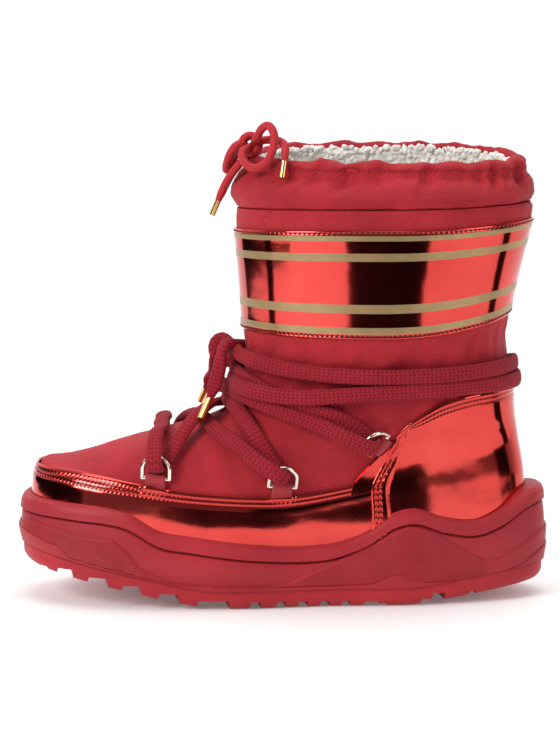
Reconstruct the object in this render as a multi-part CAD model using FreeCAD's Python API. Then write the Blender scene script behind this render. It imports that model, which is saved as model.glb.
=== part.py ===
"""Laced snow boot, left foot: rubber cup sole, padded fabric upper, wrap-round lace, gathered collar.

Frame, in millimetres: +Z up, toe towards -X, outer side towards -Y, origin on the ground at the
centre of the sole's box. Every part of the upper is a skin laid on one form, which is a stack of
closed rings from the sole to the collar's rim.
"""
import FreeCAD, Part
import math
import os

os.makedirs("parts", exist_ok=True)
Vector = FreeCAD.Vector

# ---------------------------------------------------------------- driving dimensions
SOLE_LENGTH = 280.0
SOLE_HALF_WIDTH = 52.0
SOLE_WIDEST_X = -50.0
TOE_SPRING_START = -35.0
TOE_SPRING_SLOPE = 0.21
HEEL_BEVEL_START = 62.0
HEEL_BEVEL_SLOPE = 0.14
UPPER_SPRING_SHARE = 0.75

LUG_DEPTH = 5.0
TREAD_TOP = 10.0
TREAD_ROUNDING = 6.0
FILLER_TOP = 19.0
BOARD_TOP = 21.2
FOOTBED_TOP = 27.0
SKIN_GAP = 0.3
CUP_GAP = 0.5

FABRIC = 1.4
COVER_INSIDE = 0.35
COVER_OUTSIDE = 1.45
LINING_OUTSIDE = -3.4
LINING_INSIDE = -8.2

WIRE = 2.2
RING_HALF_BAR = 7.2
RING_LEG = 4.2
RING_TILT = 32.0
TAB_WIDTH = 10.6
TAB_WEB = 1.5
BAR_CLEARANCE = 0.07

LACE = 4.6
LACE_AGLET = 4.0
LACE_AGLET_LENGTH = 13.6
DRAWCORD = 3.8
DRAWCORD_AGLET = 3.2
DRAWCORD_AGLET_LENGTH = 8.5
TUNNEL_RADIUS = 3.0
TUNNEL_WALL = 0.9
TUNNEL_SKIRT = 4.0
TUNNEL_END = 0.030

# ---------------------------------------------------------------- the boot's form
# One row is one closed ring: front tip (x, z), back tip (x, z), height at the sides, x of the widest
# place, half width, fullness of the front and back halves, waist pinch, heel taper, share of the toe
# spring, and how much higher the inner side lies than the middle.
FIELDS = ("front_x", "front_z", "back_x", "back_z", "side_z", "wide_x", "half_width",
          "front_full", "back_full", "pinch", "taper", "spring", "inner_rise")
RINGS = (
    (-128.0, 21.5, 127.5, 21.5, 21.5, -48.0, 44.0, 2.30, 2.6, 0.10, 0.14, 0.75, 0.0),
    (-132.2, 38.0, 128.8, 38.0, 38.0, -48.0, 46.3, 2.30, 2.6, 0.09, 0.14, 0.45, 0.0),
    (-129.6, 70.2, 126.8, 63.0, 58.5, -46.0, 45.2, 2.25, 2.6, 0.08, 0.13, 0.00, 0.0),
    (-117.0, 73.4, 125.4, 73.0, 67.5, -38.0, 43.2, 2.10, 2.6, 0.06, 0.11, 0.00, 0.0),
    (-90.0, 81.2, 123.8, 81.5, 77.0, -18.0, 41.6, 2.05, 2.5, 0.03, 0.08, 0.00, 0.0),
    (-58.0, 89.8, 122.4, 90.0, 87.0, 5.0, 41.6, 2.05, 2.4, 0.00, 0.04, 0.00, 0.0),
    (-30.0, 100.5, 121.2, 99.5, 98.5, 35.0, 42.8, 2.10, 2.3, 0.00, 0.00, 0.00, 0.0),
    (-23.2, 120.0, 120.2, 121.0, 119.5, 47.0, 46.0, 2.20, 2.2, 0.00, 0.00, 0.00, 0.0),
    (-21.0, 143.0, 120.0, 152.0, 141.5, 50.0, 50.0, 2.20, 2.2, 0.00, 0.00, 0.00, 0.0),
    (-24.6, 196.0, 131.0, 202.0, 197.0, 52.0, 55.0, 2.20, 2.2, 0.00, 0.00, 0.00, 0.0),
    (-24.4, 206.0, 130.8, 209.8, 206.8, 52.0, 55.0, 2.20, 2.2, 0.00, 0.00, 0.00, 0.0),
    (-27.6, 213.5, 132.8, 215.4, 214.0, 52.0, 56.5, 2.20, 2.2, 0.00, 0.00, 0.00, 0.8),
    (-26.4, 221.0, 132.3, 220.6, 221.5, 52.5, 53.5, 2.20, 2.2, 0.00, 0.00, 0.00, 2.6),
    (-20.5, 227.2, 128.6, 225.4, 227.5, 53.0, 46.0, 2.20, 2.2, 0.00, 0.00, 0.00, 4.5),
)
THROAT = 6
FOLD = 10
TOP = 13
FINE = 240
GIRTH = 640.0

# Edges of the covers, as (x, z) on either side of the boot.
RIM_EDGE = ((-142, 55), (-107, 53.5), (-82, 50.5), (-64, 41), (-50, 38.3), (-15, 33.6), (22, 32.8),
            (44, 40), (58, 49), (70, 51), (84, 46.3), (101, 44), (115, 48.5), (129, 57), (142, 60))
MUDGUARD_EDGE = ((-134, 70.3), (-108, 68.9), (-79, 64.8), (-43, 60), (-5, 58), (15, 59.6), (50, 69.5))
HEEL_EDGE = ((50.4, 72), (55, 83), (63, 94.5), (75.7, 103.5), (90, 109), (106, 111.6), (116, 112.5))
COVER_SPLIT_FOOT = (43.2, 24.0)
COVER_SPLIT_HEAD = (50.0, 71.0)
COVER_GAP = 0.5
PANEL_COLUMNS = 17


def blend_rows(rows, at):
    """Smooth curve through equally spaced rows of numbers, read at a real row number."""
    last = len(rows) - 1
    i = min(max(int(math.floor(at)), 0), last - 1)
    t = at - i
    a, b, c, d = (rows[min(max(i + k, 0), last)] for k in (-1, 0, 1, 2))
    return [q + 0.5 * t * (r - p + t * (2 * p - 5 * q + 4 * r - s + t * (3 * (q - r) + s - p)))
            for p, q, r, s in zip(a, b, c, d)]


def edge_height(points, x):
    """Height at x of the smooth line through (x, z) points."""
    if x <= points[0][0]:
        return points[0][1]
    if x >= points[-1][0]:
        return points[-1][1]
    i = max(k for k in range(len(points) - 1) if points[k][0] <= x)
    slopes = []
    for k in (i, i + 1):
        p = points[max(k - 1, 0)]
        q = points[min(k + 1, len(points) - 1)]
        slopes.append((q[1] - p[1]) / (q[0] - p[0]))
    (x0, z0), (x1, z1) = points[i], points[i + 1]
    h = x1 - x0
    t = (x - x0) / h
    return ((2 * t ** 3 - 3 * t ** 2 + 1) * z0 + (t ** 3 - 2 * t ** 2 + t) * h * slopes[0]
            + (3 * t ** 2 - 2 * t ** 3) * z1 + (t ** 3 - t ** 2) * h * slopes[1])


def ground(x):
    """Height of the tread above the floor: toe spring and heel bevel."""
    toe = max(TOE_SPRING_START - x, 0.0)
    heel = max(x - HEEL_BEVEL_START, 0.0)
    return (TOE_SPRING_SLOPE * (math.hypot(toe, 6.0) - 6.0)
            + HEEL_BEVEL_SLOPE * (math.hypot(heel, 7.0) - 7.0))


def toe_spring(x):
    return ground(min(x, 0.0))


def even_ring(values):
    """One ring as FINE + 1 points of even spacing, from the front tip round the outer side."""
    raw = []
    count = 2 * FINE
    for k in range(count + 1):
        turn = 2 * math.pi * k / count
        c, s = math.cos(turn), math.sin(turn)
        front = c > 0
        full = values["front_full"] if front else values["back_full"]
        tip = values["front_x"] if front else values["back_x"]
        x = values["wide_x"] + (tip - values["wide_x"]) * abs(c) ** (2 / full)
        waist = 1 - values["pinch"] * math.exp(-((x - 25) / 38) ** 2)
        heel = 1 - values["taper"] * max(0.0, x + 10) / 140
        y = -math.copysign(values["half_width"] * waist * heel * abs(s) ** (2 / full), s)
        tip_z = values["front_z"] if front else values["back_z"]
        z = values["side_z"] + (tip_z - values["side_z"]) * c * c
        z += values["spring"] * toe_spring(x) + values["inner_rise"] * y / values["half_width"]
        raw.append(Vector(x, y, z))
    run = [0.0]
    for a, b in zip(raw, raw[1:]):
        run.append(run[-1] + (b - a).Length)
    ring = []
    k = 0
    for i in range(FINE):
        want = run[-1] * i / FINE
        while run[k + 1] < want:
            k += 1
        share = (want - run[k]) / (run[k + 1] - run[k])
        ring.append(raw[k] + (raw[k + 1] - raw[k]) * share)
    return ring


RING_STORE = {}


def form(around, level):
    """Point on the form: around runs 0..1 from the front tip by the outer side."""
    key = round(level, 4)
    if key not in RING_STORE:
        RING_STORE[key] = even_ring(dict(zip(FIELDS, blend_rows(RINGS, key))))
    ring = RING_STORE[key]
    place = (around % 1.0) * FINE
    i = int(place) % FINE
    return ring[i] + (ring[(i + 1) % FINE] - ring[i]) * (place - int(place))


def outward(around, level):
    low = max(level - 0.05, 0.0)
    high = min(level + 0.05, float(TOP))
    along = form(around + 0.006, level) - form(around - 0.006, level)
    up = form(around, high) - form(around, low)
    return along.cross(up).normalize()


def skin(around, level, offset=0.0):
    """Point a distance outside the form, or inside it when the offset is negative."""
    return form(around, level) + outward(around, level) * offset


def level_at(around, height):
    low, high = 0.0, float(TOP)
    for _ in range(16):
        middle = (low + high) / 2
        if form(around, middle).z < height:
            low = middle
        else:
            high = middle
    return (low + high) / 2


def around_at(x, height, side=-1):
    """Place around the ring where the outer (-1) or inner (+1) side has this x at this height."""
    low, high = 0.0, 0.5
    for _ in range(14):
        middle = (low + high) / 2
        around = middle if side < 0 else 1 - middle
        if form(around, level_at(around, height)).x < x:
            low = middle
        else:
            high = middle
    middle = (low + high) / 2
    return middle if side < 0 else 1 - middle


# ---------------------------------------------------------------- solids from skins
def tidy(solid):
    return solid if solid.Volume > 0 else solid.reversed()


def control_net(rows, closed):
    """Control points whose cubic surface passes close to the given rows of points."""
    def eased(line, ring):
        last = len(line) - 1
        out = []
        for i, p in enumerate(line):
            if not ring and i in (0, last):
                out.append(p)
                continue
            bend = line[i - 1] + line[(i + 1) % len(line)] - p * 2
            out.append(p - bend * (1 / 6))
        return out
    across = [eased(row, closed) for row in rows]
    columns = [eased([row[i] for row in across], False) for i in range(len(rows[0]))]
    return columns


def knots(count, degree, closed):
    if closed:
        return [1] * (count + 1), [i / count for i in range(count + 1)]
    spans = count - degree
    return [degree + 1] + [1] * (spans - 1) + [degree + 1], [i / spans for i in range(spans + 1)]


def surface(columns, closed, degree_u=3, degree_v=3):
    u_mults, u_knots = knots(len(columns), degree_u, closed)
    v_mults, v_knots = knots(len(columns[0]), degree_v, False)
    sheet = Part.BSplineSurface()
    sheet.buildFromPolesMultsKnots(columns, u_mults, v_mults, u_knots, v_knots,
                                   closed, False, degree_u, degree_v)
    return sheet.toShape()


def shell_solid(outer_rows, inner_rows, closed):
    """Solid wall between two grids of points. closed joins the last column to the first."""
    outer = control_net(outer_rows, closed)
    inner = control_net(inner_rows, closed)
    faces = [surface(outer, closed), surface(inner, closed)]
    for row in (0, -1):
        faces.append(surface([[a[row], b[row]] for a, b in zip(outer, inner)], closed, 3, 1))
    if not closed:
        for column in (0, -1):
            faces.append(surface([outer[column], inner[column]], False, 1, 3))
    wall = Part.makeCompound(faces)
    wall.sewShape(1e-4)
    shell = wall if wall.ShapeType == "Shell" else wall.Shells[0]
    return tidy(Part.Solid(shell))


def skin_ring(low, high, outside, inside, rows=9, columns=48):
    """Closed band of the upper between two levels and two offsets."""
    grids = []
    for offset in (outside, inside):
        grids.append([[skin(i / columns, low + (high - low) * j / (rows - 1), offset)
                       for i in range(columns)] for j in range(rows)])
    return shell_solid(grids[0], grids[1], True)


def skin_patch(feet, heads, outside, inside, rows=8):
    """Open panel of the upper between a lower and an upper line of (around, height) points."""
    grids = []
    for offset in (outside, inside):
        grid = []
        for j in range(rows):
            share = j / (rows - 1)
            line = []
            for (a0, z0), (a1, z1) in zip(feet, heads):
                around = a0 + (a1 - a0) * share
                level = level_at(around, z0 + (z1 - z0) * share)
                line.append(skin(around, level, offset))
            grid.append(line)
        grids.append(grid)
    return shell_solid(grids[0], grids[1], False)


# ---------------------------------------------------------------- sole
def sole_ring(inset):
    values = dict(zip(FIELDS, (-SOLE_LENGTH / 2 + inset, 0, SOLE_LENGTH / 2 - inset, 0, 0, SOLE_WIDEST_X,
                               SOLE_HALF_WIDTH - inset, 2.35, 2.8, 0.10, 0.15, 0, 0)))
    return even_ring(values)


def prism(outline, low, high):
    ring = [Vector(p.x, p.y, low) for p in outline[::5]]
    curve = Part.BSplineCurve()
    curve.interpolate(ring, True)
    return Part.Face(Part.Wire([curve.toShape()])).extrude(Vector(0, 0, high - low))


def slab(low, high, share=1.0):
    """Layer that follows the toe spring and heel bevel, between two heights above the tread."""
    reach = SOLE_LENGTH / 2 + 8
    half = SOLE_HALF_WIDTH + 8

    def line(height, heel):
        toe = [Vector(TOE_SPRING_START - d, -half, height + share * ground(TOE_SPRING_START - d))
               for d in (reach + TOE_SPRING_START, 80, 55, 35, 20, 10, 4, 0)]
        back = [Vector(x, -half, height + (ground(x) if heel else 0.0))
                for x in (HEEL_BEVEL_START, 70, 80, 95, 115, 130, reach)]
        rise, fall = Part.BSplineCurve(), Part.BSplineCurve()
        rise.interpolate(toe)
        fall.interpolate(back)
        flat = Part.LineSegment(toe[-1], back[0])
        return [rise.toShape(), flat.toShape(), fall.toShape()], toe[0], back[-1]

    heel = share == 1.0
    under, under_toe, under_heel = line(low, heel)
    over, over_toe, over_heel = line(high, heel)
    ends = [Part.LineSegment(under_toe, over_toe).toShape(),
            Part.LineSegment(under_heel, over_heel).toShape()]
    wire = Part.Wire(Part.__sortEdges__(under + over + ends))
    return Part.Face(wire).extrude(Vector(0, 2 * half, 0))


def plate(outline, low, high, share=1.0):
    return prism(outline, -10, 90).common(slab(low, high, share)).Solids[0]


def box(low, high):
    size = [b - a for a, b in zip(low, high)]
    return Part.makeBox(*size, Vector(*low))


# Side grooves of the tread: (x at the sole's edge, width, depth).
TREAD_GROOVES = ((-121.5, 3.0, 2.5), (-111, 7, 5), (-94.5, 9, 5), (-77.2, 9, 5), (-58.2, 9.5, 5),
                 (-35, 16, 5), (-12.8, 5, 4), (0.8, 4.5, 3.6), (12.6, 4.5, 3.4), (24.2, 4.5, 3.2),
                 (35.6, 4.2, 3.2), (49, 7.5, 3.2), (54.5, 6.5, 1.6), (84.5, 6.5, 4.6), (79, 7, 2.2),
                 (103.7, 3, 2))
GROOVE_SWEEP = 9.0
GROOVE_FLARE = 1.6


def groove(x, width, depth, side):
    """V-shaped groove across one half of the tread, leaning towards the toe at the middle."""
    floor = ground(x) - 4
    top = ground(x) + depth
    half = width / 2
    edge_y = side * (SOLE_HALF_WIDTH + 4)
    low_half = half + GROOVE_FLARE
    section = [Vector(x - low_half, edge_y, floor), Vector(x + low_half, edge_y, floor),
               Vector(x + half, edge_y, top), Vector(x - half, edge_y, top)]
    face = Part.Face(Part.makePolygon(section + section[:1]))
    return face.extrude(Vector(-GROOVE_SWEEP, -edge_y, 0))


def build_outsole():
    sole = prism(sole_ring(1.0), -10, 90).common(slab(0, TREAD_TOP)).Solids[0]
    rim = [edge for edge in sole.Edges if edge.BoundBox.XLength > 1
           and all(abs(p.z - ground(p.x)) < 0.6 for p in edge.discretize(7))]
    sole = sole.makeFillet(TREAD_ROUNDING, rim).Solids[0]
    cutters = [groove(x, width, depth, side) for x, width, depth in TREAD_GROOVES for side in (-1, 1)]
    channel = slab(-3, LUG_DEPTH - 1.6)
    for y in (-17.0, 17.0):
        cutters.append(channel.common(box((-118, y - 1.6, -5), (112, y + 1.6, 60))))
    return sole.cut(cutters).Solids[0]


def build_sidewall():
    """Wall of the cup sole: its rim waves along the side, its foot sits on the tread."""
    columns, rows = 60, 8
    bulge = ((0.0, 1.6), (0.14, 0.7), (0.32, 0.1), (0.5, 0.0), (0.68, 0.5), (0.85, 1.5), (1.0, 2.7))
    outer, inner = [], []
    insets = {}
    for j in range(rows):
        share = j / (rows - 1)
        out_row, in_row = [], []
        inset = round(edge_height(bulge, share), 3)
        if inset not in insets:
            insets[inset] = sole_ring(inset)
        for i in range(columns):
            p = insets[inset][i * FINE // columns]
            foot = TREAD_TOP + 0.1 + ground(p.x)
            height = foot + (edge_height(RIM_EDGE, p.x) - foot) * share
            out_row.append(Vector(p.x, p.y, height))
            around = around_at_plan(p)
            level = level_at(around, height)
            if height < form(around, 0).z:
                wall = skin(around, 0, COVER_OUTSIDE + CUP_GAP)
            else:
                wall = skin(around, level, COVER_OUTSIDE + CUP_GAP)
            in_row.append(Vector(wall.x, wall.y, height))
        outer.append(out_row)
        inner.append(in_row)
    return shell_solid(outer, inner, True)


def around_at_plan(point):
    """Place around the upper's sole ring that lies closest to a point of the sole's outline."""
    ring = [form(k / FINE, 1.0) for k in range(FINE)]
    return min(range(FINE), key=lambda k: math.hypot(ring[k].x - point.x, ring[k].y - point.y)) / FINE


def plan_ring(level, offset):
    return [skin(k / FINE, level, offset) for k in range(FINE)]


def build_bottoming():
    filler = plate(plan_ring(0, COVER_OUTSIDE - 0.1), TREAD_TOP + 0.15, 60)
    filler = filler.common(slab(-5, FILLER_TOP, UPPER_SPRING_SHARE)).Solids[0]
    filler = filler.cut(box((-30, -8, 16.9), (58, 8, 30))).Solids[0]
    shank = box((-29.8, -7.8, 17.1), (57.8, 7.8, 18.3))
    board = plate(plan_ring(0, -0.6), FILLER_TOP + 0.1, BOARD_TOP, UPPER_SPRING_SHARE)
    footbed = plate(plan_ring(0.4, LINING_INSIDE - 2.4), BOARD_TOP + 0.2, FOOTBED_TOP, UPPER_SPRING_SHARE)
    return {"midsole_filler": filler, "steel_shank": shank, "insole_board": board, "footbed": footbed}


# ---------------------------------------------------------------- covers and stiffeners
def mirrored(points):
    """Same (around, height) line on the inner side, in reverse order."""
    return [(-a, z) for a, z in reversed(points)]


def cover_line(count, height_of, x_end, z_end):
    """Line of (around, height) from the toe back to the cover split on the outer side."""
    end = around_at(x_end, z_end)
    line = []
    for k in range(count + 1):
        around = end * k / count
        height = 66.0
        for _ in range(4):
            height = height_of(form(around, level_at(around, height)).x)
        line.append((around, height))
    return line


def even_line(points, count):
    """Evenly spaced (around, height) points on the smooth curve through a few such points."""
    dense = [blend_rows(points, (len(points) - 1) * k / 200) for k in range(201)]
    run = [0.0]
    for (a0, z0), (a1, z1) in zip(dense, dense[1:]):
        run.append(run[-1] + math.hypot((a1 - a0) * GIRTH, z1 - z0))
    line = []
    for i in range(count):
        want = run[-1] * i / (count - 1)
        k = max(j for j in range(200) if run[j] <= want)
        share = (want - run[k]) / (run[k + 1] - run[k])
        line.append([a + (b - a) * share for a, b in zip(dense[k], dense[k + 1])])
    return line


def build_mudguard():
    def foot_height(x):
        return COVER_SPLIT_FOOT[1] + UPPER_SPRING_SHARE * toe_spring(x)

    head_x = COVER_SPLIT_HEAD[0] - COVER_GAP
    head_z = edge_height(MUDGUARD_EDGE, head_x)
    feet = cover_line(PANEL_COLUMNS, foot_height, COVER_SPLIT_FOOT[0] - COVER_GAP, COVER_SPLIT_FOOT[1])
    heads = cover_line(PANEL_COLUMNS, lambda x: edge_height(MUDGUARD_EDGE, x), head_x, head_z)
    return skin_patch(mirrored(feet[1:]) + feet, mirrored(heads[1:]) + heads,
                      COVER_OUTSIDE, COVER_INSIDE, 15)


def build_heel_cover():
    heads = even_line([(around_at(x, z), z) for x, z in HEEL_EDGE] + [(0.5, 112.8)], PANEL_COLUMNS)
    start = around_at(*COVER_SPLIT_FOOT)
    feet = []
    for k in range(PANEL_COLUMNS):
        share = k / (PANEL_COLUMNS - 1)
        feet.append((start + (0.5 - start) * share, COVER_SPLIT_FOOT[1]))
    both_heads = heads + [(1 - a, z) for a, z in reversed(heads[:-1])]
    both_feet = feet + [(1 - a, z) for a, z in reversed(feet[:-1])]
    return skin_patch(both_feet, both_heads, COVER_OUTSIDE, COVER_INSIDE, 14)


def build_stiffeners():
    toe = [(-0.17 + 0.34 * k / 12) for k in range(13)]
    toe_feet = [(a, 24.5 + UPPER_SPRING_SHARE * toe_spring(form(a, 0).x)) for a in toe]
    toe_heads = [(a * 0.9, 66.0 - 60 * abs(a) ** 2 * 10) for a in toe]
    heel = [(0.36 + 0.28 * k / 12) for k in range(13)]
    heel_feet = [(a, 24.0) for a in heel]
    heel_heads = [(0.5 + (a - 0.5) * 0.8, 84.0 - 900 * (a - 0.5) ** 2) for a in heel]
    return {"toe_puff": skin_patch(toe_feet, toe_heads, -1.7, -2.7),
            "heel_stiffener": skin_patch(heel_feet, heel_heads, -1.7, -3.0)}


# ---------------------------------------------------------------- collar
def rim_frame(around):
    """Top of the collar sleeve at one place, with the level direction pointing inwards."""
    top = form(around, TOP)
    along = form(around + 0.006, TOP) - form(around - 0.006, TOP)
    inwards = Vector(0, 0, 1).cross(along).normalize()
    return top, inwards


def collar_point(around, inward, rise):
    top, inwards = rim_frame(around)
    return top + inwards * inward + Vector(0, 0, rise)


def tunnel_centre(around):
    return collar_point(around, TUNNEL_RADIUS + TUNNEL_WALL, TUNNEL_SKIRT + SKIN_GAP)


def build_casing():
    """Fabric tunnel folded over the rim. It is open at the front, where the drawcord comes out."""
    middle = TUNNEL_RADIUS + TUNNEL_WALL

    def arch(radius):
        foot = [(middle - radius, SKIN_GAP), (middle - radius, SKIN_GAP + TUNNEL_SKIRT * 0.5)]
        bend = [(middle - radius * math.cos(t), SKIN_GAP + TUNNEL_SKIRT + radius * math.sin(t))
                for t in (math.pi * k / 6 for k in range(7))]
        return foot + bend + [(2 * middle - a, b) for a, b in reversed(foot)]

    places = [TUNNEL_END + (1 - 2 * TUNNEL_END) * k / 47 for k in range(48)]
    grids = [[[collar_point(u, a, b) for u in places] for a, b in arch(radius)]
             for radius in (middle, TUNNEL_RADIUS)]
    return shell_solid(grids[0], grids[1], False)


# ---------------------------------------------------------------- D-rings and their tabs
# Bar centre (x, z) on the side of the boot, and the turn of the bow towards the toe, in degrees.
RING_PLACES = {"front": (-65.5, 67.0, -3.0), "middle": (-0.8, 63.6, -4.0), "rear": (49.6, 86.0, 52.0)}
TAB_DROP = {"front": 3.6, "middle": 4.6, "rear": 4.0}
SIDES = {"outer": -1, "inner": 1}
BAR_LIFT = WIRE / 2 + BAR_CLEARANCE + TAB_WEB + SKIN_GAP


class Fitting:
    """Place and directions of one D-ring: bar, reach (towards the bow, along the boot) and out."""

    def __init__(self, x, z, turn, side):
        around = around_at(x, z, side)
        level = level_at(around, z)
        self.out = outward(around, level)
        up = Vector(0, 0, 1)
        along = self.out.cross(up).normalize() * side
        up = (up - self.out * up.dot(self.out)).normalize()
        angle = math.radians(turn)
        self.reach = up * math.cos(angle) - along * math.sin(angle)
        self.bar = along * math.cos(angle) + up * math.sin(angle)
        self.origin = skin(around, level, BAR_LIFT)

    def at(self, bar, reach, out):
        return self.origin + self.bar * bar + self.reach * reach + self.out * out

    def lace_turn(self):
        """Two corners of a lace that comes in over the bow and leaves between bow and boot."""
        bow = RING_LEG + RING_HALF_BAR
        tilt = math.radians(RING_TILT)
        centre = bow * math.sin(tilt)
        floor = LACE / 2 + 2 * SKIN_GAP - BAR_LIFT
        half = centre - floor
        inner_end = bow * math.cos(tilt) - half
        return self.at(0, inner_end, centre + half), self.at(0, inner_end, floor)


def build_ring(fitting):
    tilt = math.radians(RING_TILT)
    reach = fitting.reach * math.cos(tilt) + fitting.out * math.sin(tilt)
    ends = [fitting.origin + fitting.bar * (s * RING_HALF_BAR) for s in (-1, 1)]
    tips = [p + reach * RING_LEG for p in ends]
    r = WIRE / 2
    pieces = [Part.makeCylinder(r, 2 * RING_HALF_BAR, ends[0], fitting.bar)]
    for end in ends:
        pieces.append(Part.makeSphere(r, end))
        pieces.append(Part.makeCylinder(r, RING_LEG, end, reach))
    centre = fitting.origin + reach * RING_LEG
    bow = Part.Arc(tips[0], centre + reach * RING_HALF_BAR, tips[1]).toShape()
    section = Part.Wire(Part.makeCircle(r, tips[0], reach))
    pieces.append(Part.Wire([bow]).makePipeShell([section], True, False))
    ring = pieces[0].fuse(pieces[1:]).removeSplitter()
    return ring.Solids[0]


def build_tab(fitting, drop):
    """Webbing folded round the ring's bar, with a short stem down to the cover's edge."""
    inside = WIRE / 2 + BAR_CLEARANCE
    outside = inside + TAB_WEB
    start = fitting.at(-TAB_WIDTH / 2, 0, 0)
    loop = Part.makeCylinder(outside, TAB_WIDTH, start, fitting.bar)
    corners = [fitting.at(-TAB_WIDTH / 2, a, b) for a, b in
               ((0, -outside), (-drop, -outside), (-drop, outside - 1.6), (0, outside))]
    stem = Part.Face(Part.makePolygon(corners + corners[:1])).extrude(fitting.bar * TAB_WIDTH)
    bore = Part.makeCylinder(inside, TAB_WIDTH + 2, fitting.at(-TAB_WIDTH / 2 - 1, 0, 0), fitting.bar)
    return loop.fuse(stem).cut(bore).Solids[0]


# ---------------------------------------------------------------- cords
def tube(name, points, diameter):
    """Round cord along straight runs joined by tangent arcs, each as large as its runs allow."""
    edges, radii = [], []
    here = points[0]
    for before, corner, after in zip(points, points[1:], points[2:]):
        back, ahead = before - corner, after - corner
        turn = math.pi - back.getAngle(ahead)
        radius = 0.45 * min(back.Length, ahead.Length) / math.tan(turn / 2)
        cut = 0.45 * min(back.Length, ahead.Length)
        back.normalize()
        ahead.normalize()
        first, last = corner + back * cut, corner + ahead * cut
        towards = (back + ahead).normalize()
        middle = corner + towards * (radius / math.cos(turn / 2) - radius)
        edges.append(Part.LineSegment(here, first).toShape())
        edges.append(Part.Arc(first, middle, last).toShape())
        here = last
        radii.append((radius, math.degrees(turn)))
    edges.append(Part.LineSegment(here, points[-1]).toShape())
    path = Part.Wire(edges)
    section = Part.Wire(Part.makeCircle(diameter / 2, points[0], points[1] - points[0]))
    solid = tidy(path.makePipeShell([section], True, False).Solids[0])
    expected = path.Length * math.pi * diameter ** 2 / 4
    print(name, "length %.0f" % path.Length, "volume ratio %.4f" % (solid.Volume / expected),
          "sharpest turn %.0f" % max(t for _, t in radii),
          "radii", " ".join("%.0f" % min(r, 999) for r, _ in radii))
    return solid


def on_boot(side, x, z, lift):
    around = around_at(x, z, SIDES[side])
    return skin(around, level_at(around, z), lift)


def on_round(around, z, lift):
    return skin(around, level_at(around, z), lift)


# The lace is one cord with its middle over the instep. Each half is a list of places:
# (side, x, z, lift above the fabric), ("front" or "back", z, lift), ("round", part of the way round
# from the front, z, lift) near the front, or ("ring", side, which).
OUTER_HALF = (
    ("front", 88.4, 5.0), ("outer", -62.0, 86.4, 6.4), ("outer", -63.5, 81.5, 15.4),
    ("ring", "outer", "front"),
    ("outer", -57.0, 78.5, 3.8), ("outer", -49.5, 85.8, 7.6), ("outer", -40.0, 92.6, 9.8),
    ("front", 98.4, 5.5), ("inner", -19.0, 94.5, 6.9), ("inner", -9.0, 79.5, 15.2),
    ("ring", "inner", "middle"),
    ("inner", -8.0, 79.0, 3.6), ("inner", -13.0, 88.5, 7.4), ("inner", -18.0, 98.0, 12.6),
    ("round", -0.020, 107.8, 12.0), ("round", 0.012, 111.0, 7.8), ("outer", -14.0, 107.6, 5.8),
    ("outer", 4.0, 101.2, 4.8),
    ("outer", 20.0, 96.4, 6.4), ("outer", 33.0, 93.6, 15.2),
    ("ring", "outer", "rear"),
    ("outer", 34.0, 99.0, 4.0), ("outer", 17.0, 104.5, 3.8), ("outer", 0.0, 110.0, 3.6),
    ("outer", -14.0, 116.8, 5.4), ("front", 121.4, 6.6), ("inner", -13.0, 119.4, 5.9),
    ("inner", 6.0, 115.5, 4.8), ("inner", 30.0, 113.6, 4.2), ("inner", 56.0, 114.2, 4.2),
    ("inner", 80.0, 115.6, 4.6), ("inner", 101.0, 118.2, 4.6), ("inner", 114.0, 121.2, 4.7),
    ("back", 125.0, 5.4), ("outer", 112.0, 124.6, 5.2), ("outer", 92.0, 123.4, 4.8),
    ("outer", 68.0, 122.8, 4.3), ("outer", 42.0, 122.6, 4.2), ("outer", 18.0, 123.6, 4.4),
    ("outer", -3.0, 126.0, 5.0), ("outer", -16.0, 129.0, 6.0),
)
INNER_HALF = (
    ("front", 88.4, 5.0), ("inner", -62.0, 86.4, 6.4), ("inner", -63.5, 81.5, 15.4),
    ("ring", "inner", "front"),
    ("inner", -57.0, 78.5, 3.8), ("inner", -53.0, 87.0, 5.0), ("front", 93.8, 5.0),
    ("outer", -37.0, 90.6, 3.6), ("outer", -24.0, 84.6, 4.6), ("outer", -11.0, 76.5, 15.2),
    ("ring", "outer", "middle"),
    ("outer", -8.0, 79.0, 3.6), ("outer", -14.0, 89.5, 4.4), ("outer", -21.0, 98.5, 5.0),
    ("round", 0.015, 104.2, 4.6), ("round", -0.018, 104.8, 4.6), ("round", -0.042, 103.6, 6.4),
    ("inner", -4.0, 100.6, 5.4),
    ("inner", 18.0, 95.6, 6.4), ("inner", 33.0, 93.6, 15.2),
    ("ring", "inner", "rear"),
    ("inner", 34.0, 99.0, 4.0), ("inner", 17.0, 103.6, 4.2), ("inner", 0.0, 107.8, 4.6),
    ("inner", -14.0, 112.4, 5.2), ("front", 115.9, 6.2), ("outer", -15.0, 113.6, 10.4),
    ("outer", 0.0, 111.6, 9.4), ("outer", 16.0, 111.8, 8.2), ("outer", 36.0, 113.2, 4.6),
    ("outer", 60.0, 114.6, 4.2), ("outer", 84.0, 115.6, 4.6), ("outer", 104.0, 116.1, 4.8),
    ("round", 0.455, 116.3, 5.6), ("back", 116.4, 5.8), ("inner", 112.0, 118.4, 10.6),
    ("inner", 96.0, 121.6, 10.6), ("inner", 78.0, 123.4, 8.2),
    ("inner", 54.0, 123.0, 4.6), ("inner", 28.0, 123.0, 4.3), ("inner", 6.0, 124.8, 4.8),
    ("inner", -12.0, 128.2, 5.8),
)
LACE_KNOT_CENTRE = (-32.5, -1.0, 131.0)
LACE_KNOT_SIZE = (12.0, 13.0, 12.0)
LACE_TAILS = {
    "outer": ((-33.0, -5.0, 125.0), (-33.6, -8.0, 119.0), (-36.0, -16.0, 112.5), (-38.8, -22.0, 106.5)),
    "inner": ((-32.5, 3.0, 125.0), (-34.4, 7.0, 119.5), (-39.0, 14.5, 113.5), (-41.5, 22.0, 107.5)),
}
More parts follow.
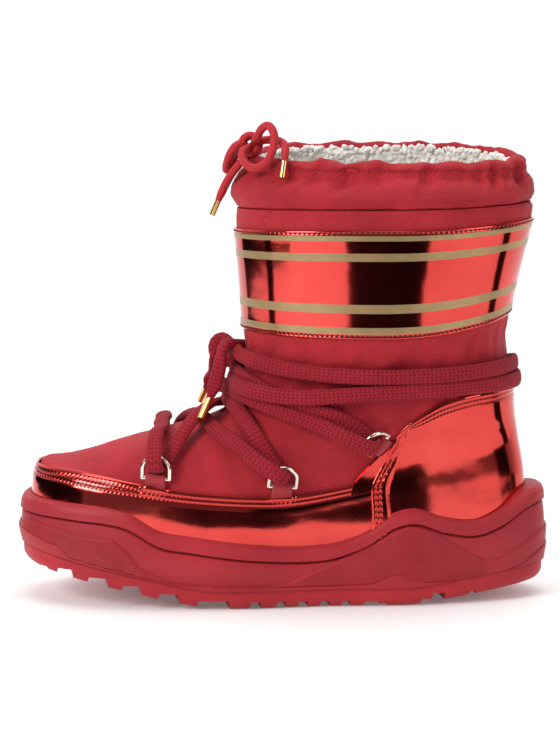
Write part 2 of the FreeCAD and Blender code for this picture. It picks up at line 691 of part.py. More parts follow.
DRAWCORD_KNOT_CENTRE = (-17.0, -12.0, 239.8)
DRAWCORD_KNOT_SIZE = (9.0, 8.0, 9.0)
DRAWCORD_RUNS = {
    "drawcord_outer_lead": ((-17.0, -4.6, 231.4), (-15.4, 1.4, 235.0), (-14.8, -0.5, 241.2),
                            (-14.8, -8.0, 241.8)),
    "drawcord_inner_lead": ((-17.2, 6.0, 232.4), (-19.8, 2.6, 237.2), (-19.0, -8.0, 237.8)),
    "drawcord_near_loop": ((-14.6, -16.0, 241.8), (-13.4, -21.5, 243.4), (-11.5, -24.5, 247.8),
                           (-7.6, -27.0, 250.4), (-4.4, -30.5, 246.0), (-4.6, -33.6, 238.8),
                           (-7.6, -34.8, 231.6), (-13.6, -32.4, 227.2), (-19.6, -28.8, 229.4),
                           (-21.8, -23.5, 235.6), (-19.2, -16.0, 237.6)),
    "drawcord_far_loop": ((-21.5, -14.0, 241.8), (-26.8, -13.0, 241.0), (-31.0, -6.5, 236.3),
                          (-32.8, 1.0, 229.0), (-31.5, 7.2, 226.4), (-28.4, 7.6, 231.0),
                          (-26.4, 2.2, 235.8), (-25.6, -5.4, 237.2), (-21.5, -11.8, 237.2)),
    "drawcord_front_tail": ((-19.0, -13.6, 235.3), (-20.6, -13.6, 232.0), (-27.4, -11.0, 224.0),
                            (-31.4, -9.5, 216.4), (-34.0, -8.5, 210.5)),
    "drawcord_side_tail": ((-12.5, -12.6, 241.4), (-8.4, -14.6, 242.2), (-2.6, -22.0, 242.0),
                           (1.0, -31.5, 240.2), (1.2, -36.6, 236.2), (0.6, -37.6, 231.6)),
}


def lace_route(places, fittings, knot_end):
    route = []
    for place in places:
        if place[0] == "ring":
            route.extend(fittings[place[1], place[2]].lace_turn())
        elif place[0] == "front":
            route.append(on_round(0.0, *place[1:]))
        elif place[0] == "round":
            route.append(on_round(*place[1:]))
        elif place[0] == "back":
            route.append(on_round(0.5, *place[1:]))
        else:
            route.append(on_boot(*place))
    route[0].y = 0.0
    level_start = Vector(route[0].x, math.copysign(LACE, route[1].y), route[0].z)
    return route[:1] + [level_start] + route[1:] + [knot_end]


def trimmed(solid, *others):
    """A cord cut back to the faces of what it runs into."""
    return max(solid.cut(list(others)).Solids, key=lambda piece: piece.Volume)


def knot(centre, size):
    low = [c - s / 2 for c, s in zip(centre, size)]
    block = box(low, [c + s / 2 for c, s in zip(centre, size)])
    return block.makeFillet(2.2, block.Edges)


def aglet(route, diameter, length):
    """Metal tip that carries on from the end of a cord."""
    end = Vector(*route[-1])
    direction = end - Vector(*route[-2])
    return Part.makeCylinder(diameter / 2, length, end, direction)


def vectors(points):
    return [Vector(*p) for p in points]


def build_lace(fittings):
    nodes = {"lace_knot": knot(LACE_KNOT_CENTRE, LACE_KNOT_SIZE)}
    for name, places, side in (("outer", OUTER_HALF, -1), ("inner", INNER_HALF, 1)):
        end = Vector(*LACE_KNOT_CENTRE) + Vector(0, side * LACE_KNOT_SIZE[1] / 2, 0)
        route = lace_route(places, fittings, end)
        half = tube("lace_%s_half" % name, route, LACE)
        nodes["lace_%s_half" % name] = trimmed(half, nodes["lace_knot"])
        tail = LACE_TAILS[name]
        strand = tube("lace_%s_tail" % name, vectors(tail), LACE)
        nodes["lace_%s_tail" % name] = trimmed(strand, nodes["lace_knot"])
        nodes["lace_%s_aglet" % name] = aglet(tail, LACE_AGLET, LACE_AGLET_LENGTH)
    return nodes


def build_drawcord():
    nodes = {"drawcord_knot": knot(DRAWCORD_KNOT_CENTRE, DRAWCORD_KNOT_SIZE)}
    starts = {"drawcord_outer_lead": 0.05, "drawcord_inner_lead": 0.95}
    ring = []
    count = 23
    first, last = starts["drawcord_outer_lead"], starts["drawcord_inner_lead"]
    step = (last - first) / count
    for k in range(count + 1):
        here = tunnel_centre(first + step * k)
        if 0 < k < count:
            chord = tunnel_centre(first + step * (k - 0.5)) + tunnel_centre(first + step * (k + 0.5))
            here = here * 2 - chord * 0.5
        ring.append(here)
    nodes["drawcord_ring"] = tube("drawcord_ring", ring, DRAWCORD)
    for name, points in DRAWCORD_RUNS.items():
        route = vectors(points)
        if name in starts:
            route = [tunnel_centre(starts[name])] + route
        nodes[name] = trimmed(tube(name, route, DRAWCORD), nodes["drawcord_knot"], nodes["drawcord_ring"])
    for name in ("front", "side"):
        tail = DRAWCORD_RUNS["drawcord_%s_tail" % name]
        nodes["drawcord_%s_aglet" % name] = aglet(tail, DRAWCORD_AGLET, DRAWCORD_AGLET_LENGTH)
    return nodes


# ---------------------------------------------------------------- the whole boot
def build():
    nodes = {"outsole": build_outsole(), "cup_sidewall": build_sidewall()}
    nodes.update(build_bottoming())
    nodes["vamp_shell"] = skin_ring(0, THROAT - 0.02, 0.0, -FABRIC, 25)
    nodes["shaft_shell"] = skin_ring(THROAT, FOLD - 0.02, 0.0, -FABRIC, 10)
    nodes["collar_sleeve"] = skin_ring(FOLD, TOP, 0.0, -1.0, 8)
    nodes["collar_casing"] = build_casing()
    nodes["lining_foot"] = skin_ring(0.12, THROAT - 0.02, LINING_OUTSIDE, LINING_INSIDE, 25)
    nodes["lining_shaft"] = skin_ring(THROAT, TOP - 0.4, LINING_OUTSIDE, LINING_INSIDE, 14)
    nodes["mudguard"] = build_mudguard()
    nodes["heel_cover"] = build_heel_cover()
    nodes["shaft_band"] = skin_ring(8, 9, COVER_OUTSIDE, COVER_INSIDE, 6)
    nodes.update(build_stiffeners())
    fittings = {}
    for side, sign in SIDES.items():
        for which, (x, z, turn) in RING_PLACES.items():
            fitting = Fitting(x, z, turn, sign)
            fittings[side, which] = fitting
            name = "%s_%s" % (side, which)
            nodes["ring_" + name] = build_ring(fitting)
            nodes["tab_" + name] = build_tab(fitting, TAB_DROP[which])
            pin = [round(v / 1000, 6) for v in fitting.origin]
            print("hinge", name, pin, [round(v, 5) for v in fitting.bar])
    nodes.update(build_lace(fittings))
    nodes.update(build_drawcord())
    for name, solid in nodes.items():
        solid.exportStep("parts/%s.step" % name)
    return nodes


BUILT = build()
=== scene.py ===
"""Looks of the laced snow boot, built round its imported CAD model.

Shapes are worked out in millimetres, on the same form as the CAD upper, and stored in metres.
+Z is up, the toe points towards -X and the outer side of the left boot towards -Y.
"""
import math

import bmesh
import bpy
import numpy as np
from mathutils import Matrix, Vector, kdtree, noise


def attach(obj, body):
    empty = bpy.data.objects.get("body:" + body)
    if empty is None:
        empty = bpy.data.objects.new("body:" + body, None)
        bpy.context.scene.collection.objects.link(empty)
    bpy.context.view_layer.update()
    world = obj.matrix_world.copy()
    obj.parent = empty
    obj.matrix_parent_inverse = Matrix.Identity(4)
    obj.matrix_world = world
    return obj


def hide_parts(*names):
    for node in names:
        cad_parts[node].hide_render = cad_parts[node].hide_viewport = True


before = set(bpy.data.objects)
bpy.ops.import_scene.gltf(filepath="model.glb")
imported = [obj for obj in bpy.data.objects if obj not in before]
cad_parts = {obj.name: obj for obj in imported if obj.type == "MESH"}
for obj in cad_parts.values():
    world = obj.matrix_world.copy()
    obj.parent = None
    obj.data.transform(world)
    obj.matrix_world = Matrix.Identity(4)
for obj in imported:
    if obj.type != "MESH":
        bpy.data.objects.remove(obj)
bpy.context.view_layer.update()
MM = 0.001

# ---------------------------------------------------------------- the boot's form, as in the CAD part
RINGS = np.array((
    (-128.0, 21.5, 127.5, 21.5, 21.5, -48.0, 44.0, 2.30, 2.6, 0.10, 0.14, 0.75, 0.0),
    (-132.2, 38.0, 128.8, 38.0, 38.0, -48.0, 46.3, 2.30, 2.6, 0.09, 0.14, 0.45, 0.0),
    (-129.6, 70.2, 126.8, 63.0, 58.5, -46.0, 45.2, 2.25, 2.6, 0.08, 0.13, 0.00, 0.0),
    (-117.0, 73.4, 125.4, 73.0, 67.5, -38.0, 43.2, 2.10, 2.6, 0.06, 0.11, 0.00, 0.0),
    (-90.0, 81.2, 123.8, 81.5, 77.0, -18.0, 41.6, 2.05, 2.5, 0.03, 0.08, 0.00, 0.0),
    (-58.0, 89.8, 122.4, 90.0, 87.0, 5.0, 41.6, 2.05, 2.4, 0.00, 0.04, 0.00, 0.0),
    (-30.0, 100.5, 121.2, 99.5, 98.5, 35.0, 42.8, 2.10, 2.3, 0.00, 0.00, 0.00, 0.0),
    (-23.2, 120.0, 120.2, 121.0, 119.5, 47.0, 46.0, 2.20, 2.2, 0.00, 0.00, 0.00, 0.0),
    (-21.0, 143.0, 120.0, 152.0, 141.5, 50.0, 50.0, 2.20, 2.2, 0.00, 0.00, 0.00, 0.0),
    (-24.6, 196.0, 131.0, 202.0, 197.0, 52.0, 55.0, 2.20, 2.2, 0.00, 0.00, 0.00, 0.0),
    (-24.4, 206.0, 130.8, 209.8, 206.8, 52.0, 55.0, 2.20, 2.2, 0.00, 0.00, 0.00, 0.0),
    (-27.6, 213.5, 132.8, 215.4, 214.0, 52.0, 56.5, 2.20, 2.2, 0.00, 0.00, 0.00, 0.8),
    (-26.4, 221.0, 132.3, 220.6, 221.5, 52.5, 53.5, 2.20, 2.2, 0.00, 0.00, 0.00, 2.6),
    (-20.5, 227.2, 128.6, 225.4, 227.5, 53.0, 46.0, 2.20, 2.2, 0.00, 0.00, 0.00, 4.5),
))
FOLD = 10.0
TOP = 13.0
GIRTH = 640.0
RIM_EDGE = ((-142, 55), (-107, 53.5), (-82, 50.5), (-64, 41), (-50, 38.3), (-15, 33.6), (22, 32.8),
            (44, 40), (58, 49), (70, 51), (84, 46.3), (101, 44), (115, 48.5), (129, 57), (142, 60))
MUDGUARD_EDGE = ((-134, 70.3), (-108, 68.9), (-79, 64.8), (-43, 60), (-5, 58), (15, 59.6), (50, 66.2))
HEEL_EDGE = ((50.4, 72), (55, 83), (63, 94.5), (75.7, 103.5), (90, 109), (106, 111.6), (116, 112.5))
SPLIT_FOOT = (43.2, 24.0)
SPLIT_HEAD = (50.0, 71.0)


def curve_between(rows, i, t):
    """Smooth curve through rows of numbers, a share t of the way from row i to the next one."""
    last = len(rows) - 1
    p, q, r, s = (rows[min(max(i + k, 0), last)] for k in (-1, 0, 1, 2))
    return q + 0.5 * t * (r - p + t * (2 * p - 5 * q + 4 * r - s + t * (3 * (q - r) + s - p)))


def blended_row(at):
    """The form's row of numbers at a real row number."""
    i = min(max(int(at), 0), len(RINGS) - 2)
    return curve_between(RINGS, i, at - i)


def entry(values, at):
    """Value of a list at a real place in it, on straight lines between its entries."""
    return np.interp(at, np.arange(len(values)), values)


def run_along(points):
    """Distance along a line, at each of its points."""
    return np.concatenate(([0.0], np.cumsum(np.linalg.norm(np.diff(points, axis=0), axis=1))))


def read_line(points, run, want):
    """Points of a line at the wanted distances along it."""
    return np.stack([np.interp(want, run, column) for column in points.T], 1)


def edge_height(points, x):
    """Height at x of the smooth line through (x, z) points."""
    x = np.atleast_1d(np.asarray(x, float))
    px, pz = np.array(points, float).T
    slope = np.empty(len(px))
    slope[1:-1] = (pz[2:] - pz[:-2]) / (px[2:] - px[:-2])
    slope[0] = (pz[1] - pz[0]) / (px[1] - px[0])
    slope[-1] = (pz[-1] - pz[-2]) / (px[-1] - px[-2])
    xc = np.clip(x, px[0], px[-1])
    i = np.clip(np.searchsorted(px, xc, side="right") - 1, 0, len(px) - 2)
    h = px[i + 1] - px[i]
    t = (xc - px[i]) / h
    return ((2 * t ** 3 - 3 * t ** 2 + 1) * pz[i] + (t ** 3 - 2 * t ** 2 + t) * h * slope[i]
            + (3 * t ** 2 - 2 * t ** 3) * pz[i + 1] + (t ** 3 - t ** 2) * h * slope[i + 1])


def ground(x):
    """Height of the tread above the floor: toe spring and heel bevel."""
    toe = np.maximum(-35.0 - x, 0.0)
    heel = np.maximum(x - 62.0, 0.0)
    return 0.21 * (np.hypot(toe, 6.0) - 6.0) + 0.14 * (np.hypot(heel, 7.0) - 7.0)


def ring_points(row, count=960):
    """One ring of the form as evenly spaced points from the front tip round the outer side."""
    front_x, front_z, back_x, back_z, side_z, wide_x, half_width, front_full, back_full, pinch, taper, \
        spring, inner_rise = row
    turn = np.linspace(0, 2 * np.pi, 2 * count + 1)
    c, s = np.cos(turn), np.sin(turn)
    front = c > 0
    power = 2 / np.where(front, front_full, back_full)
    x = wide_x + (np.where(front, front_x, back_x) - wide_x) * np.abs(c) ** power
    waist = 1 - pinch * np.exp(-((x - 25) / 38) ** 2)
    heel = 1 - taper * np.maximum(0.0, x + 10) / 140
    y = -np.sign(s) * half_width * waist * heel * np.abs(s) ** power
    z = side_z + (np.where(front, front_z, back_z) - side_z) * c * c
    z = z + spring * ground(np.minimum(x, 0.0)) + inner_rise * y / half_width
    raw = np.stack((x, y, z), 1)
    run = run_along(raw)
    return read_line(raw, run, np.linspace(0, run[-1], count + 1)[:-1])


LEVEL_STEP = 0.05
FORM = np.stack([ring_points(blended_row(k * LEVEL_STEP)) for k in range(int(TOP / LEVEL_STEP) + 1)])
ALONG = np.roll(FORM, -6, 1) - np.roll(FORM, 6, 1)
UPWARD = np.gradient(FORM, axis=0)
FACING = np.cross(ALONG, UPWARD)
FACING /= np.linalg.norm(FACING, axis=2, keepdims=True)


def read_grid(grid, around, level):
    """Reads a grid of vectors at places round the form and at levels up it."""
    around, level = np.broadcast_arrays(np.asarray(around, float), np.asarray(level, float))
    row = np.clip(level / LEVEL_STEP, 0, len(grid) - 1.001)
    column = (around % 1.0) * grid.shape[1]
    i, j = row.astype(int), column.astype(int) % grid.shape[1]
    s, t = (row - i)[..., None], (column - column.astype(int))[..., None]
    k = (j + 1) % grid.shape[1]
    low = grid[i, j] * (1 - t) + grid[i, k] * t
    high = grid[i + 1, j] * (1 - t) + grid[i + 1, k] * t
    return low * (1 - s) + high * s


def form(around, level):
    return read_grid(FORM, around, level)


def outward(around, level):
    n = read_grid(FACING, around, level)
    return n / np.linalg.norm(n, axis=-1, keepdims=True)


def skin(around, level, offset=0.0):
    """Point a distance outside the form, or inside it when the offset is negative."""
    return form(around, level) + outward(around, level) * np.asarray(offset)[..., None]


def level_at(around, height):
    """Level of the form at which it has this height, at places round it."""
    around, height = np.broadcast_arrays(np.asarray(around, float), np.asarray(height, float))
    low, high = np.zeros(around.shape), np.full(around.shape, TOP)
    for _ in range(18):
        middle = (low + high) / 2
        under = form(around, middle)[..., 2] < height
        low, high = np.where(under, middle, low), np.where(under, high, middle)
    return (low + high) / 2


def around_at(x, height, side=-1):
    """Place round the ring where the outer (-1) or inner (+1) side has this x at this height."""
    x, height = np.broadcast_arrays(np.asarray(x, float), np.asarray(height, float))
    low, high = np.zeros(x.shape), np.full(x.shape, 0.5)
    for _ in range(16):
        middle = (low + high) / 2
        around = middle if side < 0 else 1 - middle
        ahead = form(around, level_at(around, height))[..., 0] < x
        low, high = np.where(ahead, middle, low), np.where(ahead, high, middle)
    middle = (low + high) / 2
    return middle if side < 0 else 1 - middle


def ease(value, low, high):
    t = np.clip((value - low) / (high - low), 0, 1)
    return t * t * (3 - 2 * t)


def bell(value, centre, width):
    return np.exp(-((value - centre) / width) ** 2)


def ripple(x, y, z, seed=0.0):
    """Smooth noise from -1 to 1 at each point."""
    flat = np.stack(np.broadcast_arrays(x, y, z), -1).reshape(-1, 3)
    values = [noise.noise((a + seed, b - seed, c + 0.37 * seed)) for a, b, c in flat]
    return np.array(values).reshape(np.broadcast(x, y, z).shape)


# ---------------------------------------------------------------- meshes
END = 1e-6
SEAM_REACH = 2e-6


def laid_grid(columns, rows, place, uv=None, wrap_u=False, wrap_v=False):
    """A grid laid on a shape. place(u, v) gives millimetres; uv(u, v) gives the pattern's metres."""
    bm = bmesh.new()
    bmesh.ops.create_grid(bm, x_segments=columns, y_segments=rows, size=0.5)
    flat = np.array([v.co[:2] for v in bm.verts])
    u, v = ((flat - flat.min(0)) / np.ptp(flat, axis=0)).T
    for vert, co in zip(bm.verts, place(u, v) * MM):
        vert.co = co
    if uv is not None:
        layer = bm.loops.layers.uv.new("pattern")
        table = np.stack(uv(u, v), 1)
        for face in bm.faces:
            for loop in face.loops:
                loop[layer].uv = table[loop.vert.index]
    seam = []
    for wraps, share in ((wrap_u, u), (wrap_v, v)):
        if wraps:
            seam += [vert for vert, a in zip(bm.verts, share) if a < END or a > 1 - END]
    if seam:
        bmesh.ops.remove_doubles(bm, verts=list(dict.fromkeys(seam)), dist=SEAM_REACH)
    return bm


def linked(name, data):
    made = bpy.data.objects.new(name, data)
    bpy.context.scene.collection.objects.link(made)
    return made


def mesh_of(name, bm):
    mesh = bpy.data.meshes.new(name)
    bm.to_mesh(mesh)
    bm.free()
    return mesh


def move_into(bm, part):
    """Adds the faces of one bmesh to another."""
    spare = mesh_of("spare", part)
    bm.from_mesh(spare)
    bpy.data.meshes.remove(spare)


def close_holes(bm):
    edges = [e for e in bm.edges if e.is_boundary]
    if edges:
        bmesh.ops.holes_fill(bm, edges=edges, sides=0)
    bmesh.ops.recalc_face_normals(bm, faces=bm.faces)


def turn_out(bm, centre):
    """Turns an open sheet's faces so that they look away from the line x, y = centre."""
    total = 0.0
    for face in bm.faces:
        middle = face.calc_center_median()
        total += face.normal.x * (middle.x - centre[0]) + face.normal.y * (middle.y - centre[1])
    if total < 0:
        bmesh.ops.reverse_faces(bm, faces=bm.faces)


def piece(name, bm, finish, body="root", replaces=()):
    """A finished piece in its place, riding on a body of the frame."""
    bm.normal_update()
    mesh = mesh_of(name, bm)
    mesh.materials.append(finish)
    for polygon in mesh.polygons:
        polygon.use_smooth = True
    made = linked(name, mesh)
    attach(made, body)
    if replaces:
        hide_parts(*replaces)
    return made


def thicken(made, thickness, rounding=0.0):
    """Wall of a sheet, grown inwards, with its edges rounded."""
    wall = made.modifiers.new("wall", "SOLIDIFY")
    wall.thickness = thickness * MM
    wall.offset = -1.0
    if rounding:
        edge = made.modifiers.new("edge", "BEVEL")
        edge.width = rounding * MM
        edge.segments = 2
        edge.limit_method = "ANGLE"
        edge.angle_limit = math.radians(60)


# ---------------------------------------------------------------- finishes
class Value:
    """A shader socket that Python's operators work on."""

    def __init__(self, finish, socket):
        self.finish = finish
        self.socket = socket

    def math(self, operation, first, *rest):
        sockets = dict(enumerate((first,) + rest))
        return self.finish.node("ShaderNodeMath", {"operation": operation}, sockets)

    def __add__(self, other):
        return self.math("ADD", self, other)

    def __sub__(self, other):
        return self.math("SUBTRACT", self, other)

    def __rsub__(self, other):
        return self.math("SUBTRACT", other, self)

    def __mul__(self, other):
        return self.math("MULTIPLY", self, other)

    def __truediv__(self, other):
        return self.math("DIVIDE", self, other)

    def __lt__(self, other):
        return self.math("LESS_THAN", self, other)

    def __gt__(self, other):
        return self.math("GREATER_THAN", self, other)

    __radd__ = __add__
    __rmul__ = __mul__

    def fraction(self):
        return self.math("FRACT", self)

    def floor(self):
        return self.math("FLOOR", self)

    def absolute(self):
        return self.math("ABSOLUTE", self)

    def sine(self):
        return self.math("SINE", self)

    def power(self, exponent):
        return self.math("POWER", self, exponent)

    def modulo(self, other):
        return self.math("MODULO", self, other)

    def clipped(self, low, high):
        """0 below low, 1 above high and a straight ramp between."""
        return self.finish.node("ShaderNodeMapRange", {"clamp": True},
                                {"Value": self, "From Min": low, "From Max": high})


class Finish:
    """One procedural material."""

    def __init__(self, name, **constants):
        self.material = bpy.data.materials.new(name)
        self.material.use_nodes = True
        self.nodes = self.material.node_tree.nodes
        self.links = self.material.node_tree.links
        self.shader = self.nodes["Principled BSDF"]
        for key, value in constants.items():
            socket = key.replace("_", " ").title().replace("Ior", "IOR")
            self.shader.inputs[socket].default_value = value
        self.place = self.node("ShaderNodeTexCoord", {}, {}, "Object")

    def node(self, kind, settings, sockets, output=0):
        made = self.nodes.new(kind)
        for key, value in settings.items():
            setattr(made, key, value)
        for key, value in sockets.items():
            if isinstance(value, Value):
                self.links.new(value.socket, made.inputs[key])
            else:
                made.inputs[key].default_value = value
        return Value(self, made.outputs[output])

    def drive(self, key, value):
        self.links.new(value.socket, self.shader.inputs[key])

    def noise(self, scale, detail=2.0, roughness=0.5):
        return self.node("ShaderNodeTexNoise", {}, {"Vector": self.place, "Scale": scale,
                                                    "Detail": detail, "Roughness": roughness}, "Fac")

    def cells(self, scale):
        return self.node("ShaderNodeTexVoronoi", {}, {"Vector": self.place, "Scale": scale}, "Distance")

    def pattern(self):
        """The piece's own pattern coordinates in metres: along and across."""
        uv = self.node("ShaderNodeUVMap", {"uv_map": "pattern"}, {}, "UV")
        return [self.node("ShaderNodeSeparateXYZ", {}, {"Vector": uv}, axis) for axis in "XY"]

    def mix(self, share, first, second):
        """Blend of two colours, each an (r, g, b) or another blend."""
        first, second = (c if isinstance(c, Value) else (*c, 1.0) for c in (first, second))
        return self.node("ShaderNodeMix", {"data_type": "RGBA"}, {0: share, 6: first, 7: second}, 2)

    def bump(self, height, distance, strength=1.0, under=None):
        sockets = {"Height": height, "Distance": distance, "Strength": strength}
        if under is not None:
            sockets["Normal"] = under
        return self.node("ShaderNodeBump", {}, sockets, "Normal")


def nylon():
    f = Finish("red_twill_nylon", specular_ior_level=0.22, sheen_weight=0.06, sheen_roughness=0.4,
               sheen_tint=(1.0, 0.35, 0.35, 1.0))
    along, across = f.pattern()
    wale = ((along * 0.94 + across * 0.62) / 0.00125).fraction()
    pick = ((across - along * 0.2) / 0.0011).fraction()
    rise = (wale * (1.0 - wale)) * (pick * (1.0 - pick)) * 16.0
    cloud = f.noise(38.0, 3.0)
    dark, light = (0.27, 0.008, 0.015), (0.60, 0.027, 0.040)
    # Painted light and shade: the twill's raised threads are painted lighter and its hollows darker; the
    # cloud adds random tone.
    f.drive("Base Color", f.mix((cloud.clipped(0.3, 0.7) * 0.4 + rise * 0.6), dark, light))
    f.drive("Roughness", cloud * 0.12 + 0.56)
    f.drive("Normal", f.bump(rise, 0.00028, 0.9, f.bump(f.noise(420.0, 2.0), 0.0001, 0.4)))
    return f.material


def mirror_leather(name, rows, pitch, stripes=False):
    """Foil-faced leather. Across the pattern it puckers at each sewn row, in metres from its edge, and
    its colour is darkened in the stitch dents as painted shade.
    """
    f = Finish(name, metallic=1.0, coat_weight=0.15, coat_roughness=0.06)
    cloud = f.noise(22.0, 3.0)
    red = f.mix(cloud.clipped(0.25, 0.75), (0.56, 0.042, 0.036), (0.69, 0.072, 0.060))
    along, across = f.pattern()
    pull = None
    for row in rows:
        near = 1.0 - ((across - row).absolute() * 900.0).clipped(0.0, 1.0)
        pull = near if pull is None else pull + near
    hole = ((along / pitch) * (2 * math.pi)).sine() * 0.5 + 0.5
    sewn = pull * (hole * 0.8 + 0.2)
    grain = f.noise(900.0, 3.0, 0.6)
    wave = f.noise(46.0, 2.0)
    normal = f.bump(wave, 0.0004, 0.5, f.bump(grain, 0.00003, 0.35))
    rough = cloud * 0.08 + 0.06 + pull * 0.12
    if stripes:
        gold = None
        for low, high in ((0.0480, 0.0514), (0.0375, 0.0414), (0.0144, 0.0185), (0.0034, 0.0073)):
            line = (across > low) * (across < high)
            gold = line if gold is None else gold + line
        mottle = f.noise(140.0, 4.0)
        red = f.mix(gold, red, f.mix(mottle, (0.33, 0.215, 0.095), (0.46, 0.32, 0.155)))
        rough = rough + gold * 0.28
        f.drive("Metallic", 1.0 - gold * 0.45)
        f.drive("Coat Weight", 0.15 - gold * 0.12)
    # Painted shade: the leather's colour is darkened in the dents at each stitch along the sewn rows.
    f.drive("Base Color", f.mix(sewn * 0.75, red, (0.20, 0.010, 0.012)))
    f.drive("Roughness", rough)
    f.drive("Normal", f.bump(1.0 - sewn, 0.00035, 0.9, normal))
    return f.material


def sole_rubber(name="red_rubber", tint=1.0):
    f = Finish(name, specular_ior_level=0.3)
    cloud = f.noise(30.0, 4.0)
    low, high = (0.31 * tint, 0.013, 0.021), (0.41 * tint, 0.020, 0.029)
    f.drive("Base Color", f.mix(cloud.clipped(0.3, 0.72), low, high))
    f.drive("Roughness", f.noise(260.0, 3.0) * 0.16 + 0.42)
    f.drive("Normal", f.bump(f.noise(1500.0, 3.0, 0.65), 0.00006, 0.6))
    return f.material


def knitted(name, low, high, stitch, column, depth):
    """Braid whose stitches lean left and right in turn, row by row."""
    f = Finish(name, roughness=0.82, specular_ior_level=0.2, sheen_weight=0.06, sheen_roughness=0.4)
    along, across = f.pattern()
    lane = across / column
    lean = (lane.floor().modulo(2.0).absolute() - 0.5) * 2.0
    inside = lane.fraction()
    phase = along / stitch + lean * (inside - 0.5) * 0.5
    swell = (phase * math.pi).sine().absolute()
    crown = (inside * (1.0 - inside)) * 4.0
    rise = swell.power(0.6) * (crown * 0.6 + 0.4)
    thread = ((phase * 4.0 + lane * 1.5) * math.pi).sine().absolute()
    yarn_tone = f.noise(55.0, 3.0)
    # Painted shade: the stitch hollows are painted darker and the crowns lighter; the noise adds random
    # tone of the yarn.
    f.drive("Base Color", f.mix((rise * 0.75 + yarn_tone * 0.35).clipped(0.2, 1.0), low, high))
    f.drive("Normal", f.bump(rise * 0.8 + thread * 0.25, depth, 0.8))
    return f.material


def ribbed_braid():
    f = Finish("red_round_braid", roughness=0.78, specular_ior_level=0.2, sheen_weight=0.06,
               sheen_roughness=0.4)
    along, across = f.pattern()
    rib = ((across / 0.0011) * math.pi).sine().absolute()
    pick = ((along / 0.0013 + across / 0.0044) * math.pi).sine().absolute()
    rise = rib * 0.75 + pick * 0.25
    # Painted shade: the grooves between the ribs are painted darker and the rib crowns lighter.
    f.drive("Base Color", f.mix(rise, (0.33, 0.013, 0.020), (0.56, 0.036, 0.046)))
    f.drive("Normal", f.bump(rise, 0.00025, 0.8))
    return f.material


def webbing():
    f = Finish("red_webbing", roughness=0.8, sheen_weight=0.2)
    along, across = f.pattern()
    rib = ((along / 0.0012) * math.pi).sine().absolute()
    warp = ((across / 0.0009) * math.pi).sine().absolute()
    rise = rib * 0.7 + warp * 0.3
    # Painted shade: the hollows between the ribs are painted darker and the ribs lighter.
    f.drive("Base Color", f.mix(rise, (0.20, 0.008, 0.012), (0.44, 0.020, 0.030)))
    f.drive("Normal", f.bump(rise, 0.0002, 0.8))
    return f.material


def pile():
    f = Finish("ivory_pile", roughness=0.95, sheen_weight=0.5, sheen_roughness=0.5)
    curl = f.cells(420.0)
    tuft = f.noise(160.0, 4.0, 0.6)
    f.drive("Base Color", f.mix((tuft * 0.6 + curl * 0.6).clipped(0.2, 0.85), (0.93, 0.90, 0.86),
                                (0.72, 0.67, 0.60)))
    f.drive("Normal", f.bump(curl, 0.0006, 0.7, f.bump(tuft, 0.0009, 0.8)))
    return f.material


def metal(name, low, high, roughness):
    f = Finish(name, metallic=1.0, roughness=roughness)
    cloud = f.noise(300.0, 3.0)
    f.drive("Base Color", f.mix(cloud, low, high))
    f.drive("Roughness", f.noise(900.0, 4.0, 0.7) * 0.12 + roughness - 0.05)
    f.drive("Normal", f.bump(f.noise(2400.0, 2.0), 0.00001, 0.3))
    return f.material


def plain_stock(name, low, high, scale, roughness, depth, metallic=0.0):
    f = Finish(name, roughness=roughness, metallic=metallic)
    grain = f.noise(scale, 4.0, 0.6)
    f.drive("Base Color", f.mix(grain, low, high))
    f.drive("Normal", f.bump(grain, depth, 0.6))
    return f.material


NYLON = nylon()
MIRROR = mirror_leather("red_mirror_leather", (0.0021, 0.0045), 0.0023)
MIRROR_BAND = mirror_leather("striped_mirror_leather", (0.0020, 0.0530), 0.0027, True)
RUBBER = sole_rubber()
TREAD_RUBBER = sole_rubber("red_tread_rubber", 1.15)
LACE_KNIT = knitted("crimson_lace_knit", (0.13, 0.004, 0.009), (0.40, 0.016, 0.030), 0.0023, 0.00175,
                    0.0003)
CORD_BRAID = ribbed_braid()
WEBBING = webbing()
PILE = pile()
NICKEL = metal("champagne_nickel", (0.74, 0.67, 0.56), (0.86, 0.80, 0.70), 0.14)
GOLD = metal("polished_gold", (0.78, 0.50, 0.16), (0.93, 0.68, 0.28), 0.17)
THREAD = plain_stock("dark_red_thread", (0.035, 0.002, 0.004), (0.13, 0.008, 0.012), 1500.0, 0.7,
                     0.0001)
RED_THREAD = plain_stock("red_thread", (0.16, 0.008, 0.012), (0.36, 0.02, 0.028), 1500.0, 0.7, 0.0001)
FOAM = plain_stock("pale_foam", (0.62, 0.58, 0.52), (0.78, 0.74, 0.68), 700.0, 0.9, 0.0002)
SPRING_STEEL = plain_stock("spring_steel", (0.42, 0.42, 0.43), (0.58, 0.58, 0.60), 300.0, 0.35, 0.00003,
                           1.0)
BOARD = plain_stock("fibre_board", (0.34, 0.26, 0.17), (0.50, 0.40, 0.28), 500.0, 0.85, 0.0001)
STIFFENER = plain_stock("stiffener_sheet", (0.62, 0.60, 0.54), (0.74, 0.71, 0.64), 260.0, 0.6, 0.00006)


def refinish(node, finish):
    """Gives a CAD node that stays in view its finish."""
    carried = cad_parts[node]
    carried.data.materials.clear()
    carried.data.materials.append(finish)


# ---------------------------------------------------------------- sole
def at_heights(points, x):
    """Height at x of the straight lines through (x, z) points."""
    px, pz = np.array(points, float).T
    return np.interp(x, px, pz)


